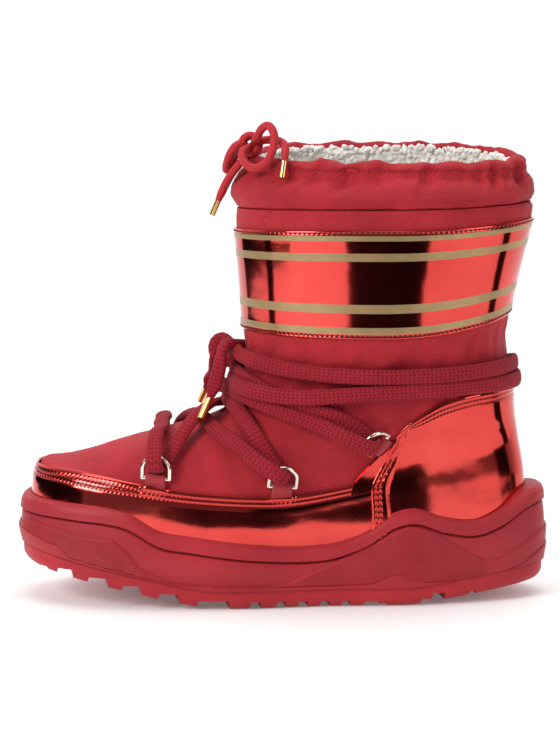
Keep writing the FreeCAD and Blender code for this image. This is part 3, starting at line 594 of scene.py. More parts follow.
PANEL_TOP = ((-140, 40.2), (-138.6, 40.8), (-133.1, 44.4), (-109.8, 38.7), (-87.9, 36.8), (-80.7, 30.7),
             (-73.6, 21.8), (-55, 13), (-10, 11), (2.0, 13.3), (25.2, 23.5), (48.5, 34.6), (64.5, 42.6),
             (72.7, 41.6), (88.2, 33.3), (97.4, 27.8), (105.8, 23.2), (114.2, 23.2), (125.6, 28.3),
             (135.5, 35.9), (140, 38))
BUMPER_TOP = ((-140, 38.8), (-137.9, 38.4), (-129.1, 35.7), (-121.2, 33.1), (-116.9, 32.5),
              (-113.2, 28.8), (-110.9, 26.3), (-100.7, 23.9), (-73.6, 17.8), (-55.8, 13.9),
              (-25.6, 12.0), (25.3, 11.6),
              (47.7, 12.5), (52.2, 14.1), (55.8, 16.2), (59.3, 17.2), (63.0, 16.1), (66.6, 14.4),
              (74.7, 12.6), (106.8, 13.9), (125.7, 19.1), (137.9, 27.7), (140, 29))
BULGE = ((0.0, 1.6), (0.14, 0.7), (0.32, 0.1), (0.5, 0.0), (0.68, 0.5), (0.85, 1.5), (1.0, 2.7))
WELT = 7.6
WALL_FOOT = 10.1
WALL_GAP = 1.95


def sole_ring(inset):
    """Outline of the sole, drawn in from its widest one."""
    row = (-140 + inset, 0, 140 - inset, 0, 0, -50, 52 - inset, 2.35, 2.8, 0.10, 0.15, 0, 0)
    return ring_points(row)


INSET_STEP = 0.5
SOLE_RINGS = np.stack([sole_ring(k * INSET_STEP) for k in range(9)])


def sole_outline(around, inset):
    """Point of the sole's outline at a place round it and an inset of up to 4 mm."""
    grid = SOLE_RINGS
    place = np.clip(np.asarray(inset, float), 0, 3.99) / INSET_STEP
    i = place.astype(int)
    t = (place - i)[..., None]
    column = (around % 1.0) * 960
    j = column.astype(int) % 960
    s = (column - column.astype(int))[..., None]
    k = (j + 1) % 960
    low = grid[i, j] * (1 - s) + grid[i, k] * s
    high = grid[i + 1, j] * (1 - s) + grid[i + 1, k] * s
    return low * (1 - t) + high * t


def plan_normal(around):
    """Level direction out of the sole's outline."""
    ahead = sole_outline(around + 0.004, 0.0 * around)
    behind = sole_outline(around - 0.004, 0.0 * around)
    along = ahead - behind
    n = np.stack((along[..., 1], -along[..., 0], 0 * along[..., 0]), -1)
    return n / np.linalg.norm(n, axis=-1, keepdims=True)


def sole_relief(x, height, rim):
    """How far the moulded side stands out: welt, stitched groove, ribbed panels and lower bumper."""
    below = rim - height
    out = 1.3 * ease(below, -0.2, 1.2) * (1 - ease(below, WELT - 0.5, WELT - 0.1))
    out += 0.35 * bell(below, 3.2, 1.8)
    out -= 1.3 * bell(below, WELT + 0.4, 0.5)
    panel = at_heights(PANEL_TOP, x)
    bumper = at_heights(BUMPER_TOP, x)
    inside = ease(panel - height, -0.25, 0.35) * (1 - ease(bumper - height, -0.5, 0.1))
    low_x = ease(x, -139.5, -136) * (1 - ease(x, -76, -60)) + ease(x, 0, 12) * (1 - ease(x, 100, 116))
    ribs = 0.5 + 0.5 * np.cos((panel - height) * 2 * np.pi / 1.22)
    out += inside * (1.2 + 0.6 * (ribs - 0.5) * low_x)
    out += 1.8 * ease(bumper - height, -0.3, 0.3)
    return out * ease(below, -0.4, 0.6)


def build_sidewall():
    """Cup wall: v runs up the outside, over the rim and down against the upper."""
    outer_share = 0.84
    nearest = kdtree.KDTree(960)
    inner_ring = ring_points(blended_row(1.0))
    for k, p in enumerate(inner_ring):
        nearest.insert((p[0], p[1], 0), k)
    nearest.balance()

    def place(u, v):
        at = np.clip(v / outer_share, 0, 1)
        plan = sole_outline(u, edge_height(BULGE, at))
        x = plan[:, 0]
        foot = WALL_FOOT + ground(x)
        rim = edge_height(RIM_EDGE, x)
        height = foot + (rim - foot) * at
        out = plan + plan_normal(u) * sole_relief(x, height, rim)[:, None]
        out[:, 2] = height
        inner_round = np.array([nearest.find((p[0], p[1], 0))[1] / 960 for p in plan])
        back = np.clip((v - outer_share) / (1 - outer_share), 0, 1)
        down = ease(back, 0.45, 0.9)
        inner_height = rim + 0.6 * np.sin(np.pi * np.clip(back / 0.4, 0, 1)) - (rim - foot) * down
        level = level_at(inner_round, np.maximum(inner_height, 24))
        wall = skin(inner_round, level, WALL_GAP)
        wall[:, 2] = inner_height
        over = ease(back, 0.0, 0.42)[:, None]
        mixed = out * (1 - over) + wall * over
        mixed[:, 2] = np.where(back > 0, inner_height, height)
        home = ease(back, 0.9, 1.0)[:, None]
        start = sole_outline(u, 0 * u + 1.6) + plan_normal(u) * sole_relief(x, foot, rim)[:, None]
        start[:, 2] = foot
        return mixed * (1 - home) + start * home

    bm = laid_grid(640, 152, place, wrap_u=True, wrap_v=True)
    bmesh.ops.recalc_face_normals(bm, faces=bm.faces)
    return piece("sole_sidewall", bm, RUBBER, replaces=["cup_sidewall"])


# ---------------------------------------------------------------- stitches
def stitch_row(name, points, facings, pitch, size, finish, gap=0.3):
    """Sewn thread along a line: one small bead of thread for each stitch."""
    run = run_along(points)
    bm = bmesh.new()
    turns = np.arange(int(run[-1] / pitch))
    heads = read_line(points, run, (turns + gap / 2) * pitch)
    tails = read_line(points, run, (turns + 1 - gap / 2) * pitch)
    for head, tail, facing in zip(heads, tails, read_line(facings, run, (turns + 0.5) * pitch)):
        along = Vector(tail - head)
        middle = Vector((head + tail) / 2)
        up = Vector(facing).normalized()
        side = along.cross(up).normalized()
        up = side.cross(along).normalized()
        turn = Matrix((along.normalized() * along.length * 0.5, side * size, up * size)).transposed()
        matrix = Matrix.Translation(middle * MM) @ (turn * MM).to_4x4()
        bmesh.ops.create_icosphere(bm, subdivisions=1, radius=1.0, matrix=matrix)
    bmesh.ops.recalc_face_normals(bm, faces=bm.faces)
    return piece(name, bm, finish)


def sole_groove_stitches():
    """Thread in the moulded groove below the welt."""
    around = np.linspace(0, 1, 1200)
    plan = sole_outline(around, 0 * around + 0.9)
    rim = edge_height(RIM_EDGE, plan[:, 0])
    below = WELT + 0.35
    share = 1 - below / (rim - WALL_FOOT - ground(plan[:, 0]))
    points = sole_outline(around, edge_height(BULGE, share)) - plan_normal(around) * 0.75
    points[:, 2] = rim - WELT - 0.35
    stitch_row("sole_groove_stitches", points, plan_normal(around), 3.0, 0.42, THREAD)


# ---------------------------------------------------------------- rings and tabs
RING_PLACES = {"front": (-65.5, 67.0, -3.0), "middle": (-0.8, 63.6, -4.0), "rear": (49.6, 86.0, 52.0)}
SIDES = {"outer": -1, "inner": 1}
WIRE = 2.2
RING_HALF_BAR = 7.2
RING_LEG = 4.2
RING_TILT = math.radians(32.0)
TAB_WEB = 1.5
BAR_LIFT = WIRE / 2 + 0.07 + TAB_WEB + 0.3
LACE = 4.6


class Fitting:
    """Place and directions of one D-ring: bar, reach (towards the bow, along the boot) and out."""

    def __init__(self, x, z, turn, side):
        around = around_at(x, z, side)
        level = level_at(around, z)
        self.out = Vector(outward(around, level))
        up = Vector((0, 0, 1))
        along = self.out.cross(up).normalized() * side
        up = (up - self.out * up.dot(self.out)).normalized()
        angle = math.radians(turn)
        self.reach = up * math.cos(angle) - along * math.sin(angle)
        self.bar = along * math.cos(angle) + up * math.sin(angle)
        self.origin = Vector(skin(around, level, BAR_LIFT))

    def at(self, bar, reach, out):
        return self.origin + self.bar * bar + self.reach * reach + self.out * out

    def lace_turn(self):
        """Two corners of a lace that comes in over the bow and leaves between bow and boot."""
        bow = RING_LEG + RING_HALF_BAR
        centre = bow * math.sin(RING_TILT)
        floor = LACE / 2 + 0.6 - BAR_LIFT
        half = centre - floor
        inner_end = bow * math.cos(RING_TILT) - half
        return self.at(0, inner_end, centre + half), self.at(0, inner_end, floor)


FITTINGS = {}
for side_name, side_sign in SIDES.items():
    for which, (ring_x, ring_z, ring_turn) in RING_PLACES.items():
        FITTINGS[side_name, which] = Fitting(ring_x, ring_z, ring_turn, side_sign)


def tab_swell(points):
    """How much a cover rises over the sewn ends of the webbing tabs."""
    rise = np.zeros(len(points))
    for fitting in FITTINGS.values():
        foot = np.array(fitting.at(0, -8.0, -BAR_LIFT))
        gap = points - foot
        across = gap @ np.array(fitting.bar)
        along = gap @ np.array(fitting.reach)
        near = np.linalg.norm(gap, axis=1) < 24
        rise = np.maximum(rise, near * (1 - ease(np.abs(across), 4.4, 8.0)) * ease(along, -1.5, 3.5))
    return rise * 1.6


# ---------------------------------------------------------------- swept pieces
LANES = 12


def resample(points, step):
    """Evenly spaced points of a line, and its length."""
    points = np.asarray(points, float)
    run = run_along(points)
    return read_line(points, run, np.linspace(0, run[-1], max(int(run[-1] / step), 4) + 1)), run[-1]


def nurbs_line(points, step):
    """Evenly spaced points of the smooth NURBS line that a cord's route points control."""
    curve = bpy.data.curves.new("route", "CURVE")
    curve.dimensions = "3D"
    curve.resolution_u = 16
    spline = curve.splines.new("NURBS")
    spline.points.add(len(points) - 1)
    for target, p in zip(spline.points, points):
        target.co = (p[0] * MM, p[1] * MM, p[2] * MM, 1.0)
    spline.order_u = 3
    spline.use_endpoint_u = True
    holder = linked("route", curve)
    bpy.context.view_layer.update()
    mesh = bpy.data.meshes.new_from_object(holder)
    line = np.array([v.co[:] for v in mesh.vertices]) * 1000
    bpy.data.objects.remove(holder)
    bpy.data.curves.remove(curve)
    bpy.data.meshes.remove(mesh)
    return resample(line, step)


def directions(line):
    along = np.gradient(line, axis=0)
    return along / np.linalg.norm(along, axis=1, keepdims=True)


def carried_frame(line, wanted=None, hold=0.0):
    """Normals carried along a line without twist, and eased towards the wanted ones by hold."""
    along = directions(line)
    hold = np.broadcast_to(hold, len(line))
    out = np.empty_like(line)
    start = wanted[0] if wanted is not None else np.array((0.0, 0.0, 1.0))
    if abs(start @ along[0]) > 0.9:
        start = np.array((0.0, 1.0, 0.0))
    here = start - along[0] * (start @ along[0])
    here /= np.linalg.norm(here)
    for i in range(len(line)):
        here = here - along[i] * (here @ along[i])
        here /= np.linalg.norm(here)
        if wanted is not None and hold[i] > 0:
            aim = wanted[i] - along[i] * (wanted[i] @ along[i])
            size = np.linalg.norm(aim)
            if size > 0.2:
                aim = aim / size
                if aim @ here < 0:
                    aim = -aim
                here = here * (1 - hold[i]) + aim * hold[i]
                here /= np.linalg.norm(here)
        out[i] = here
    return out


def swept(line, facing, half_width, half_thick, fullness, sections, relief=None, lanes=LANES, lane=1.0):
    """Tube of a flat rounded section along a line; facing is its thin direction.

    Its pattern runs in metres along the line, and round the section in lanes, each lane mm wide.
    """
    along = directions(line)
    aside = np.cross(along, facing)
    last = len(line) - 1
    half_width = np.broadcast_to(half_width, len(line)).astype(float)
    half_thick = np.broadcast_to(half_thick, len(line)).astype(float)
    run = run_along(line)
    ring = np.linspace(0, 2 * np.pi, 721)
    power = 2 / fullness
    shape_x = np.sign(np.cos(ring)) * np.abs(np.cos(ring)) ** power * half_width.max()
    shape_y = np.sign(np.sin(ring)) * np.abs(np.sin(ring)) ** power * half_thick.max()
    girth = np.concatenate(([0.0], np.cumsum(np.hypot(np.diff(shape_x), np.diff(shape_y)))))

    def place(u, v):
        i = np.rint(u * last).astype(int)
        turn = np.interp(v * girth[-1], girth, ring)
        c, s = np.cos(turn), np.sin(turn)
        w = np.sign(c) * np.abs(c) ** power * half_width[i]
        t = np.sign(s) * np.abs(s) ** power * half_thick[i]
        out = line[i] + aside[i] * w[:, None] + facing[i] * t[:, None]
        if relief is not None:
            away = aside[i] * (w / half_width[i] ** 2)[:, None]
            away = away + facing[i] * (t / half_thick[i] ** 2)[:, None]
            away /= np.linalg.norm(away, axis=1, keepdims=True)
            out = out + away * relief(run[i], v * lanes)[:, None]
        return out

    def uv(u, v):
        i = np.rint(u * last).astype(int)
        return run[i] * MM, v * lanes * lane * MM

    bm = laid_grid(last, sections, place, uv, wrap_v=True)
    close_holes(bm)
    return bm


def knit_relief(along, lane):
    """Rows of leaning stitches, lane by lane round a lace."""
    lean = np.where(np.floor(lane) % 2 > 0, 1.0, -1.0)
    inside = lane - np.floor(lane)
    swell = np.abs(np.sin(np.pi * (along / 2.3 + lean * (inside - 0.5) * 0.5)))
    return 0.30 * swell ** 0.6 * (0.4 + 2.4 * inside * (1 - inside)) - 0.2


# ---------------------------------------------------------------- lace
# Route points: (side, x, z, lift above the fabric), ("front" or "back", z, lift), ("round", part of
# the way round from the front, z, lift), ("ring", side, which) or ("free", x, y, z).
OUTER_HALF = (
    ("front", 88.0, 4.4), ("outer", -62.0, 86.2, 5.6), ("outer", -63.5, 81.5, 12.4),
    ("ring", "outer", "front"),
    ("outer", -57.0, 78.5, 3.8), ("outer", -49.5, 85.8, 7.6), ("outer", -40.0, 92.6, 9.8),
    ("front", 98.4, 5.5), ("inner", -19.0, 94.5, 6.9), ("inner", -9.0, 79.5, 15.2),
    ("ring", "inner", "middle"),
    ("inner", -8.0, 79.0, 3.6), ("inner", -13.0, 88.5, 7.4), ("inner", -18.0, 98.0, 12.6),
    ("round", -0.020, 107.8, 12.0), ("round", 0.012, 111.0, 7.8), ("outer", -14.0, 107.6, 5.8),
    ("outer", 4.0, 101.2, 4.8), ("outer", 20.0, 96.4, 6.4), ("outer", 33.0, 93.6, 15.2),
    ("ring", "outer", "rear"),
    ("outer", 34.0, 99.0, 4.0), ("outer", 17.0, 104.5, 3.8), ("outer", 0.0, 110.0, 3.6),
    ("outer", -14.0, 116.8, 5.4), ("front", 121.4, 6.6), ("inner", -13.0, 119.4, 5.9),
    ("inner", 6.0, 115.5, 4.8), ("inner", 30.0, 113.6, 4.2), ("inner", 56.0, 114.2, 4.2),
    ("inner", 80.0, 115.6, 4.6), ("inner", 101.0, 118.2, 4.6), ("inner", 114.0, 121.2, 4.7),
    ("back", 125.0, 5.4), ("outer", 112.0, 124.6, 5.2), ("outer", 92.0, 123.4, 4.8),
    ("outer", 68.0, 122.8, 4.3), ("outer", 42.0, 122.6, 4.2), ("outer", 18.0, 123.6, 4.4),
    ("outer", -3.0, 126.0, 5.0), ("outer", -16.0, 129.0, 6.0),
    ("free", -27.0, -8.0, 133.5), ("free", -32.0, -3.0, 137.5), ("free", -36.5, -1.0, 134.0),
    ("free", -36.0, 0.0, 127.5), ("free", -31.0, 0.0, 124.0), ("free", -26.5, -3.5, 126.5),
    ("free", -24.5, -10.0, 132.5), ("free", -27.5, -14.5, 137.0), ("free", -32.0, -16.5, 134.0),
    ("free", -33.0, -16.5, 125.5), ("free", -35.4, -16.8, 115.0), ("free", -38.8, -22.0, 106.5),
)
INNER_HALF = (
    ("front", 88.0, 4.4), ("inner", -62.0, 86.2, 5.6), ("inner", -63.5, 81.5, 12.4),
    ("ring", "inner", "front"),
    ("inner", -57.0, 78.5, 3.8), ("inner", -53.0, 87.0, 5.0), ("front", 93.8, 5.0),
    ("outer", -37.0, 90.6, 3.6), ("outer", -24.0, 84.6, 4.6), ("outer", -11.0, 76.5, 15.2),
    ("ring", "outer", "middle"),
    ("outer", -8.0, 79.0, 3.6), ("outer", -14.0, 89.5, 4.4), ("outer", -21.0, 98.5, 5.0),
    ("round", 0.015, 104.2, 4.6), ("round", -0.018, 104.8, 4.6), ("round", -0.042, 103.6, 6.4),
    ("inner", -4.0, 100.6, 5.4), ("inner", 18.0, 95.6, 6.4), ("inner", 33.0, 93.6, 15.2),
    ("ring", "inner", "rear"),
    ("inner", 34.0, 99.0, 4.0), ("inner", 17.0, 103.6, 4.2), ("inner", 0.0, 107.8, 4.6),
    ("inner", -14.0, 112.4, 5.2), ("front", 115.9, 6.2), ("outer", -15.0, 113.6, 10.4),
    ("outer", 0.0, 111.6, 9.4), ("outer", 16.0, 111.8, 8.2), ("outer", 36.0, 113.2, 4.6),
    ("outer", 60.0, 114.6, 4.2), ("outer", 84.0, 115.6, 4.6), ("outer", 104.0, 116.1, 4.8),
    ("round", 0.455, 116.3, 5.6), ("back", 116.4, 5.8), ("inner", 112.0, 118.4, 10.6),
    ("inner", 96.0, 121.6, 10.6), ("inner", 78.0, 123.4, 8.2), ("inner", 54.0, 123.0, 4.6),
    ("inner", 28.0, 123.0, 4.3), ("inner", 6.0, 124.8, 4.8), ("inner", -12.0, 128.2, 5.8),
    ("free", -27.0, 12.0, 131.5), ("free", -33.0, 4.0, 131.0), ("free", -35.5, -0.5, 129.5),
    ("free", -36.5, 2.5, 124.5), ("free", -36.0, 8.5, 118.5), ("free", -39.0, 14.5, 113.5),
    ("free", -41.5, 22.0, 107.5),
)
LACE_WIDTH = 8.0
LACE_THICK = 4.2
LACE_STEP = 0.62
LACE_LANE = 1.75
KNOT = (-32.0, -6.0, 130.0)
TIP = 3.9
TIP_THICK = 3.8


def on_boot(around, z, lift):
    """Point at a height and a lift above the form."""
    return skin(around, level_at(around, z), lift)


def lace_points(places):
    """A lace's route in millimetres, and the points where it turns in a ring."""
    route, turns = [], []
    for place in places:
        if place[0] == "ring":
            corners = FITTINGS[place[1], place[2]].lace_turn()
            turns.append((np.array(corners[0]) + np.array(corners[1])) / 2)
            route.extend(np.array(corner) for corner in corners)
        elif place[0] == "free":
            route.append(np.array(place[1:]))
        elif place[0] in ("front", "back"):
            route.append(on_boot({"front": 0.0, "back": 0.5}[place[0]], *place[1:]))
        elif place[0] == "round":
            route.append(on_boot(*place[1:]))
        else:
            around = around_at(place[1], place[2], SIDES[place[0]])
            route.append(on_boot(around, *place[2:]))
    route[0][1] = 0.0
    level_start = np.array((route[0][0], math.copysign(LACE, route[1][1]), route[0][2]))
    return route[:1] + [level_start] + route[1:], turns


def boot_tree():
    """Finder of the form's nearest point, with the directions out of the form."""
    sample = FORM[::4, ::6].reshape(-1, 3)
    normals = FACING[::4, ::6].reshape(-1, 3)
    tree = kdtree.KDTree(len(sample))
    for k, p in enumerate(sample):
        tree.insert(p, k)
    tree.balance()
    return tree, normals


def build_lace():
    tree, normals = boot_tree()
    for name, places, aglet in (("outer", OUTER_HALF, "lace_outer_aglet"),
                                ("inner", INNER_HALF, "lace_inner_aglet")):
        route, turns = lace_points(places)
        line, length = nurbs_line(route, LACE_STEP)
        wanted = np.array([normals[tree.find(p)[1]] for p in line])
        near_turn = np.min([np.linalg.norm(line - t, axis=1) for t in turns], axis=0)
        knot_gap = np.linalg.norm(line - np.array(KNOT), axis=1)
        run = np.linspace(0, length, len(line))
        to_end = length - run
        hanging = to_end < 26
        wanted[hanging] = (-0.25, 0.97 if name == "inner" else -0.97, 0.05)
        hold = np.where(hanging, 0.1, 0.12 * ease(near_turn, 6, 12) * ease(knot_gap, 12, 20))
        facing = carried_frame(line, wanted, hold)
        broad = 1 + 0.10 * bell(near_turn, 0, 9) - 0.12 * bell(knot_gap, 0, 12)
        broad += 0.03 * ripple(run / 19, 0 * run, 0 * run, 4.0)
        taper = ease(to_end, 1.0, 9.0)
        width = TIP / 2 + (LACE_WIDTH / 2 * broad - TIP / 2) * taper
        thick = TIP_THICK / 2 + (LACE_THICK / 2 * (2 - broad) - TIP_THICK / 2) * taper
        bm = swept(line, facing, width, thick, 2.5, 36, knit_relief, LANES, LACE_LANE)
        lace = piece("lace_" + name, bm, LACE_KNIT,
                     replaces=["lace_%s_half" % name, "lace_%s_tail" % name]
                     + (["lace_knot"] if name == "outer" else []))
        path = line * 0.001
        tuple(path[0])
        refinish(aglet, GOLD)


# ---------------------------------------------------------------- drawcord
TUNNEL_RADIUS = 3.0
TUNNEL_WALL = 0.9
TUNNEL_RISE = 4.3
DRAWCORD_OUTER = (
    (-17.0, -4.6, 231.4), (-15.4, 1.4, 235.0), (-14.8, -0.5, 241.2), (-14.8, -8.0, 241.8),
    (-14.6, -16.0, 241.8), (-13.4, -21.5, 243.4), (-11.5, -24.5, 247.8), (-7.6, -27.0, 250.4),
    (-4.4, -30.5, 246.0), (-4.6, -33.6, 238.8), (-7.6, -34.8, 231.6), (-13.6, -32.4, 227.2),
    (-19.6, -28.8, 229.4), (-21.8, -23.5, 235.6), (-19.2, -16.0, 237.6), (-16.0, -10.5, 238.6),
    (-12.5, -12.6, 241.4), (-8.4, -14.6, 242.2), (-2.6, -22.0, 242.0), (1.0, -31.5, 240.2),
    (1.2, -36.6, 236.2), (0.6, -37.6, 231.6),
)
DRAWCORD_INNER = (
    (-17.2, 6.0, 232.4), (-19.8, 2.6, 237.2), (-19.0, -8.0, 237.8), (-21.0, -14.0, 240.6),
    (-25.0, -14.0, 239.0), (-28.0, -9.0, 234.6), (-30.0, -2.0, 228.0), (-30.0, 4.6, 225.0),
    (-27.6, 6.4, 229.0), (-25.2, 2.2, 234.0), (-24.2, -5.4, 236.0), (-21.3, -11.8, 236.4),
    (-19.0, -13.6, 235.3), (-20.6, -13.6, 232.0), (-27.4, -11.0, 224.0), (-31.4, -9.5, 216.4),
    (-34.0, -8.5, 210.5),
)
DRAWCORD = 4.1
CORD_LANE = 1.1
CORD_STEP = 0.5
CORD_TIP = 3.2


def rim_frame(around):
    """The form's top edge and the level direction into the boot from it."""
    top = form(around, TOP)
    along = form(around + 0.006, TOP) - form(around - 0.006, TOP)
    inwards = np.stack((-along[..., 1], along[..., 0], 0 * along[..., 0]), -1)
    return top, inwards / np.linalg.norm(inwards, axis=-1, keepdims=True)


def collar_point(around, inward, rise):
    """Point a distance inside and above the form's top edge."""
    top, inwards = rim_frame(around)
    out = top + inwards * np.asarray(inward)[..., None]
    out[..., 2] += rise
    return out


def rib_relief(along, lane):
    return 0.12 * np.cos(lane * 2 * np.pi) + 0 * along


def build_drawcord():
    for name, points, start, aglet, nodes in (
            ("drawcord_outer", DRAWCORD_OUTER, 0.05, "drawcord_side_aglet",
             ["drawcord_outer_lead", "drawcord_near_loop", "drawcord_side_tail"]),
            ("drawcord_inner", DRAWCORD_INNER, 0.95, "drawcord_front_aglet",
             ["drawcord_inner_lead", "drawcord_far_loop", "drawcord_front_tail"])):
        first = collar_point(np.array(start), TUNNEL_RADIUS + TUNNEL_WALL, TUNNEL_RISE)
        line, length = nurbs_line([first] + [np.array(p) for p in points], CORD_STEP)
        facing = carried_frame(line)
        run = np.linspace(0, length, len(line))
        taper = ease(length - run, 0.5, 4.0)
        radius = CORD_TIP / 2 + (DRAWCORD / 2 - CORD_TIP / 2) * taper
        bm = swept(line, facing, radius, radius, 2.0, 24, rib_relief, LANES, CORD_LANE)
        cord = piece(name, bm, CORD_BRAID, replaces=nodes)
        path = line * 0.001
        tuple(path[0])
        refinish(aglet, GOLD)
    turn = np.linspace(0, 2 * np.pi, 60)
    knot = bmesh.new()
    for k, (lean, size) in enumerate(((0.35, 4.5), (-0.5, 4.1))):
        c, s = np.cos(turn), np.sin(turn)
        ring = np.stack((c * size, s * size * 0.35 + 1.6 * (k - 0.5) + lean * c, s * size), 1)
        line, _ = resample(np.array((-17.0, -12.0, 239.8)) + ring, CORD_STEP)
        coil = swept(line, carried_frame(line), 2.0, 2.0, 2.0, 24, rib_relief, LANES, CORD_LANE)
        move_into(knot, coil)
    piece("drawcord_knot_wrap", knot, CORD_BRAID, replaces=["drawcord_knot"])
    ring = np.linspace(0.05, 0.95, 160)
    line, _ = resample(collar_point(ring, TUNNEL_RADIUS + TUNNEL_WALL, TUNNEL_RISE), 1.4)
    bm = swept(line, carried_frame(line), 1.9, 1.9, 2.0, 14)
    piece("drawcord_in_tunnel", bm, CORD_BRAID, replaces=["drawcord_ring"])


# ---------------------------------------------------------------- fabric upper
def upper_folds(around, level, x, y, z):
    """Soft hollows and swells of the padded nylon, in millimetres."""
    vamp = ease(level, 1.6, 2.6) * (1 - ease(level, 5.2, 6.2))
    shaft = ease(level, 5.8, 6.8) * (1 - ease(level, 7.75, 8.0))
    throat = bell(level, 6.3, 0.6)
    out = vamp * (1.1 * ripple(x / 34, y / 34, z / 26, 3.1) + 0.5 * ripple(x / 13, y / 13, z / 15, 9.4))
    drape = ripple(around * GIRTH / 17, z / 60, 0 * z, 5.2)
    sharp = 1 - np.abs(ripple(around * GIRTH / 21, z / 40, 0 * z, 15.5)) * 3.2
    small = 0.9 * ripple(x / 13, y / 13, z / 11, 1.7)
    out += shaft * (2.2 * np.maximum(drape, -0.5) + 0.9 * sharp - 0.7 + small)
    out += throat * (1.6 * ripple(around * GIRTH / 12, z / 30, 0 * z, 12.5) - 0.3)
    out -= 0.9 * bell(z, 119.5, 7.0) * ease(level, 5.9, 6.4)
    over_band = ease(level, 8.97, 9.15)
    return out + over_band * 0.5 * ripple(around * GIRTH / 26, z / 20, 0 * z, 8.0)


UPPER_TOP = FOLD + 0.03
UPPER_WALL = 1.3


def build_upper():
    def place(u, v):
        level = v * UPPER_TOP
        return skin(u, level, upper_folds(u, level, *form(u, level).T))

    def uv(u, v):
        return u * GIRTH * MM, form(u, v * UPPER_TOP)[:, 2] * MM

    bm = laid_grid(330, 112, place, uv, wrap_u=True)
    turn_out(bm, (0.03, 0.0))
    upper = piece("nylon_upper", bm, NYLON, replaces=["vamp_shell", "shaft_shell"])
    thicken(upper, UPPER_WALL)


# ---------------------------------------------------------------- leather covers
LEATHER_LIFT = 1.45
LEATHER_WALL = 1.0
LEATHER_ROUNDING = 0.3
ROW_GAP = 2.4
FIRST_ROW = 2.1
EDGE_ROWS = (FIRST_ROW, FIRST_ROW + ROW_GAP)
BAND_ROW = 2.0
BAND_HEIGHT = 55.0


def edge_profile(distance, rows):
    """Height of leather near its sewn edge: a rounded turned edge, pinched along each stitch row."""
    out = -0.3 * (1 - ease(distance, 0.0, 0.8))
    for row in rows:
        out = out - 0.16 * bell(distance, row, 0.6)
    return out + 0.12 * bell(distance, rows[-1] + 2.2, 2.2)


def leather(name, bm, centre, finish, node):
    """A thin cover of leather in its place."""
    turn_out(bm, centre)
    thicken(piece(name, bm, finish, replaces=[node]), LEATHER_WALL, LEATHER_ROUNDING)


def sew(name, rows, spot, lift, pitch, size):
    """Rows of stitches on leather; spot(row) gives a row's points and their directions out."""
    for k, row in enumerate(rows):
        points, facings = spot(row)
        stitch_row("%s_stitches_%d" % (name, k + 1), points + facings * lift, facings, pitch, size,
                   THREAD)


def mudguard_lines(share):
    """Foot and head of the mudguard, at shares of its way round the toe between its rear ends."""
    end = float(around_at(SPLIT_HEAD[0] + 3.0, SPLIT_HEAD[1]))
    foot_end = float(around_at(SPLIT_FOOT[0] + 3.0, SPLIT_FOOT[1]))
    turn = (share - 0.5) * 2
    head_around, foot_around = turn * end, turn * foot_end
    head = np.full(turn.shape, 66.0)
    foot = np.full(turn.shape, 30.0)
    for _ in range(5):
        head = edge_height(MUDGUARD_EDGE, form(head_around, level_at(head_around, head))[:, 0])
        x = form(foot_around, level_at(foot_around, foot))[:, 0]
        foot = SPLIT_FOOT[1] + 0.75 * ground(np.minimum(x, 0.0))
    return foot_around, foot, head_around, head


def build_mudguard():
    """Leather round the toe: u runs from one rear end to the other, v down from the sewn edge."""
    shares = np.linspace(0, 1, 700)
    lines = mudguard_lines(shares)
    steps = np.array((0, .35, .7, 1.1, 1.5, 1.9, 2.3, 2.7, 3.2, 3.7, 4.2, 4.7, 5.3, 6.2, 7.5, 9, 11, 13,
                      15.5, 18, 20.5, 23, 25.5, 28, 31, 35, 40))

    def spot(u, distance):
        foot_around, foot, head_around, head = (np.interp(u, shares, line) for line in lines)
        height = np.maximum(head - distance, foot)
        t = (height - foot) / np.maximum(head - foot, 1e-6)
        around = foot_around + (head_around - foot_around) * t
        level = level_at(around, height)
        base = skin(around, level, LEATHER_LIFT)
        swell = tab_swell(base) * (1 - ease(distance, 5.0, 13.0))
        lift = swell + edge_profile(distance, EDGE_ROWS)
        lift = lift + 0.35 * ripple(base[:, 0] / 26, base[:, 1] / 26, base[:, 2] / 20, 6.6)
        return skin(around, level, LEATHER_LIFT + lift), outward(around, level)

    def place(u, v):
        return spot(u, entry(steps, v * (len(steps) - 1)))[0]

    def uv(u, v):
        return u * run * MM, entry(steps, v * (len(steps) - 1)) * MM

    u = np.linspace(0.012, 0.988, 1500)
    edge = spot(u, 0 * u + FIRST_ROW)[0]
    run = np.linalg.norm(np.diff(edge, axis=0), axis=1).sum() / 0.976
    bm = laid_grid(520, len(steps) - 1, place, uv)
    leather("mudguard_leather", bm, (0.0, 0.0), MIRROR, "mudguard")
    sew("mudguard", EDGE_ROWS, lambda row: spot(u, np.full(u.shape, row)), 0.12, 2.3, 0.38)


def heel_edge_line(count=400):
    """The heel cover's edge, from the outer split foot over the heel to the inner one.

    It is laid flat, in millimetres: (around times the girth, z).
    """
    outer = [(float(around_at(*SPLIT_FOOT)), SPLIT_FOOT[1]), (float(around_at(46.6, 48.0)), 48.0)]
    outer += [(float(around_at(x, z)), z) for x, z in HEEL_EDGE] + [(0.5, 112.8)]
    points = outer + [(1 - a, z) for a, z in reversed(outer[:-1])]
    rows = np.array(points)
    shares = np.linspace(0, 1, 24, endpoint=False)
    dense = [curve_between(rows, k, t) for k in range(len(rows) - 1) for t in shares]
    dense = np.array(dense + [rows[-1]])
    flat = np.stack((dense[:, 0] * GIRTH, dense[:, 1]), 1)
    run = run_along(flat)
    return read_line(flat, run, np.linspace(0, run[-1], count))


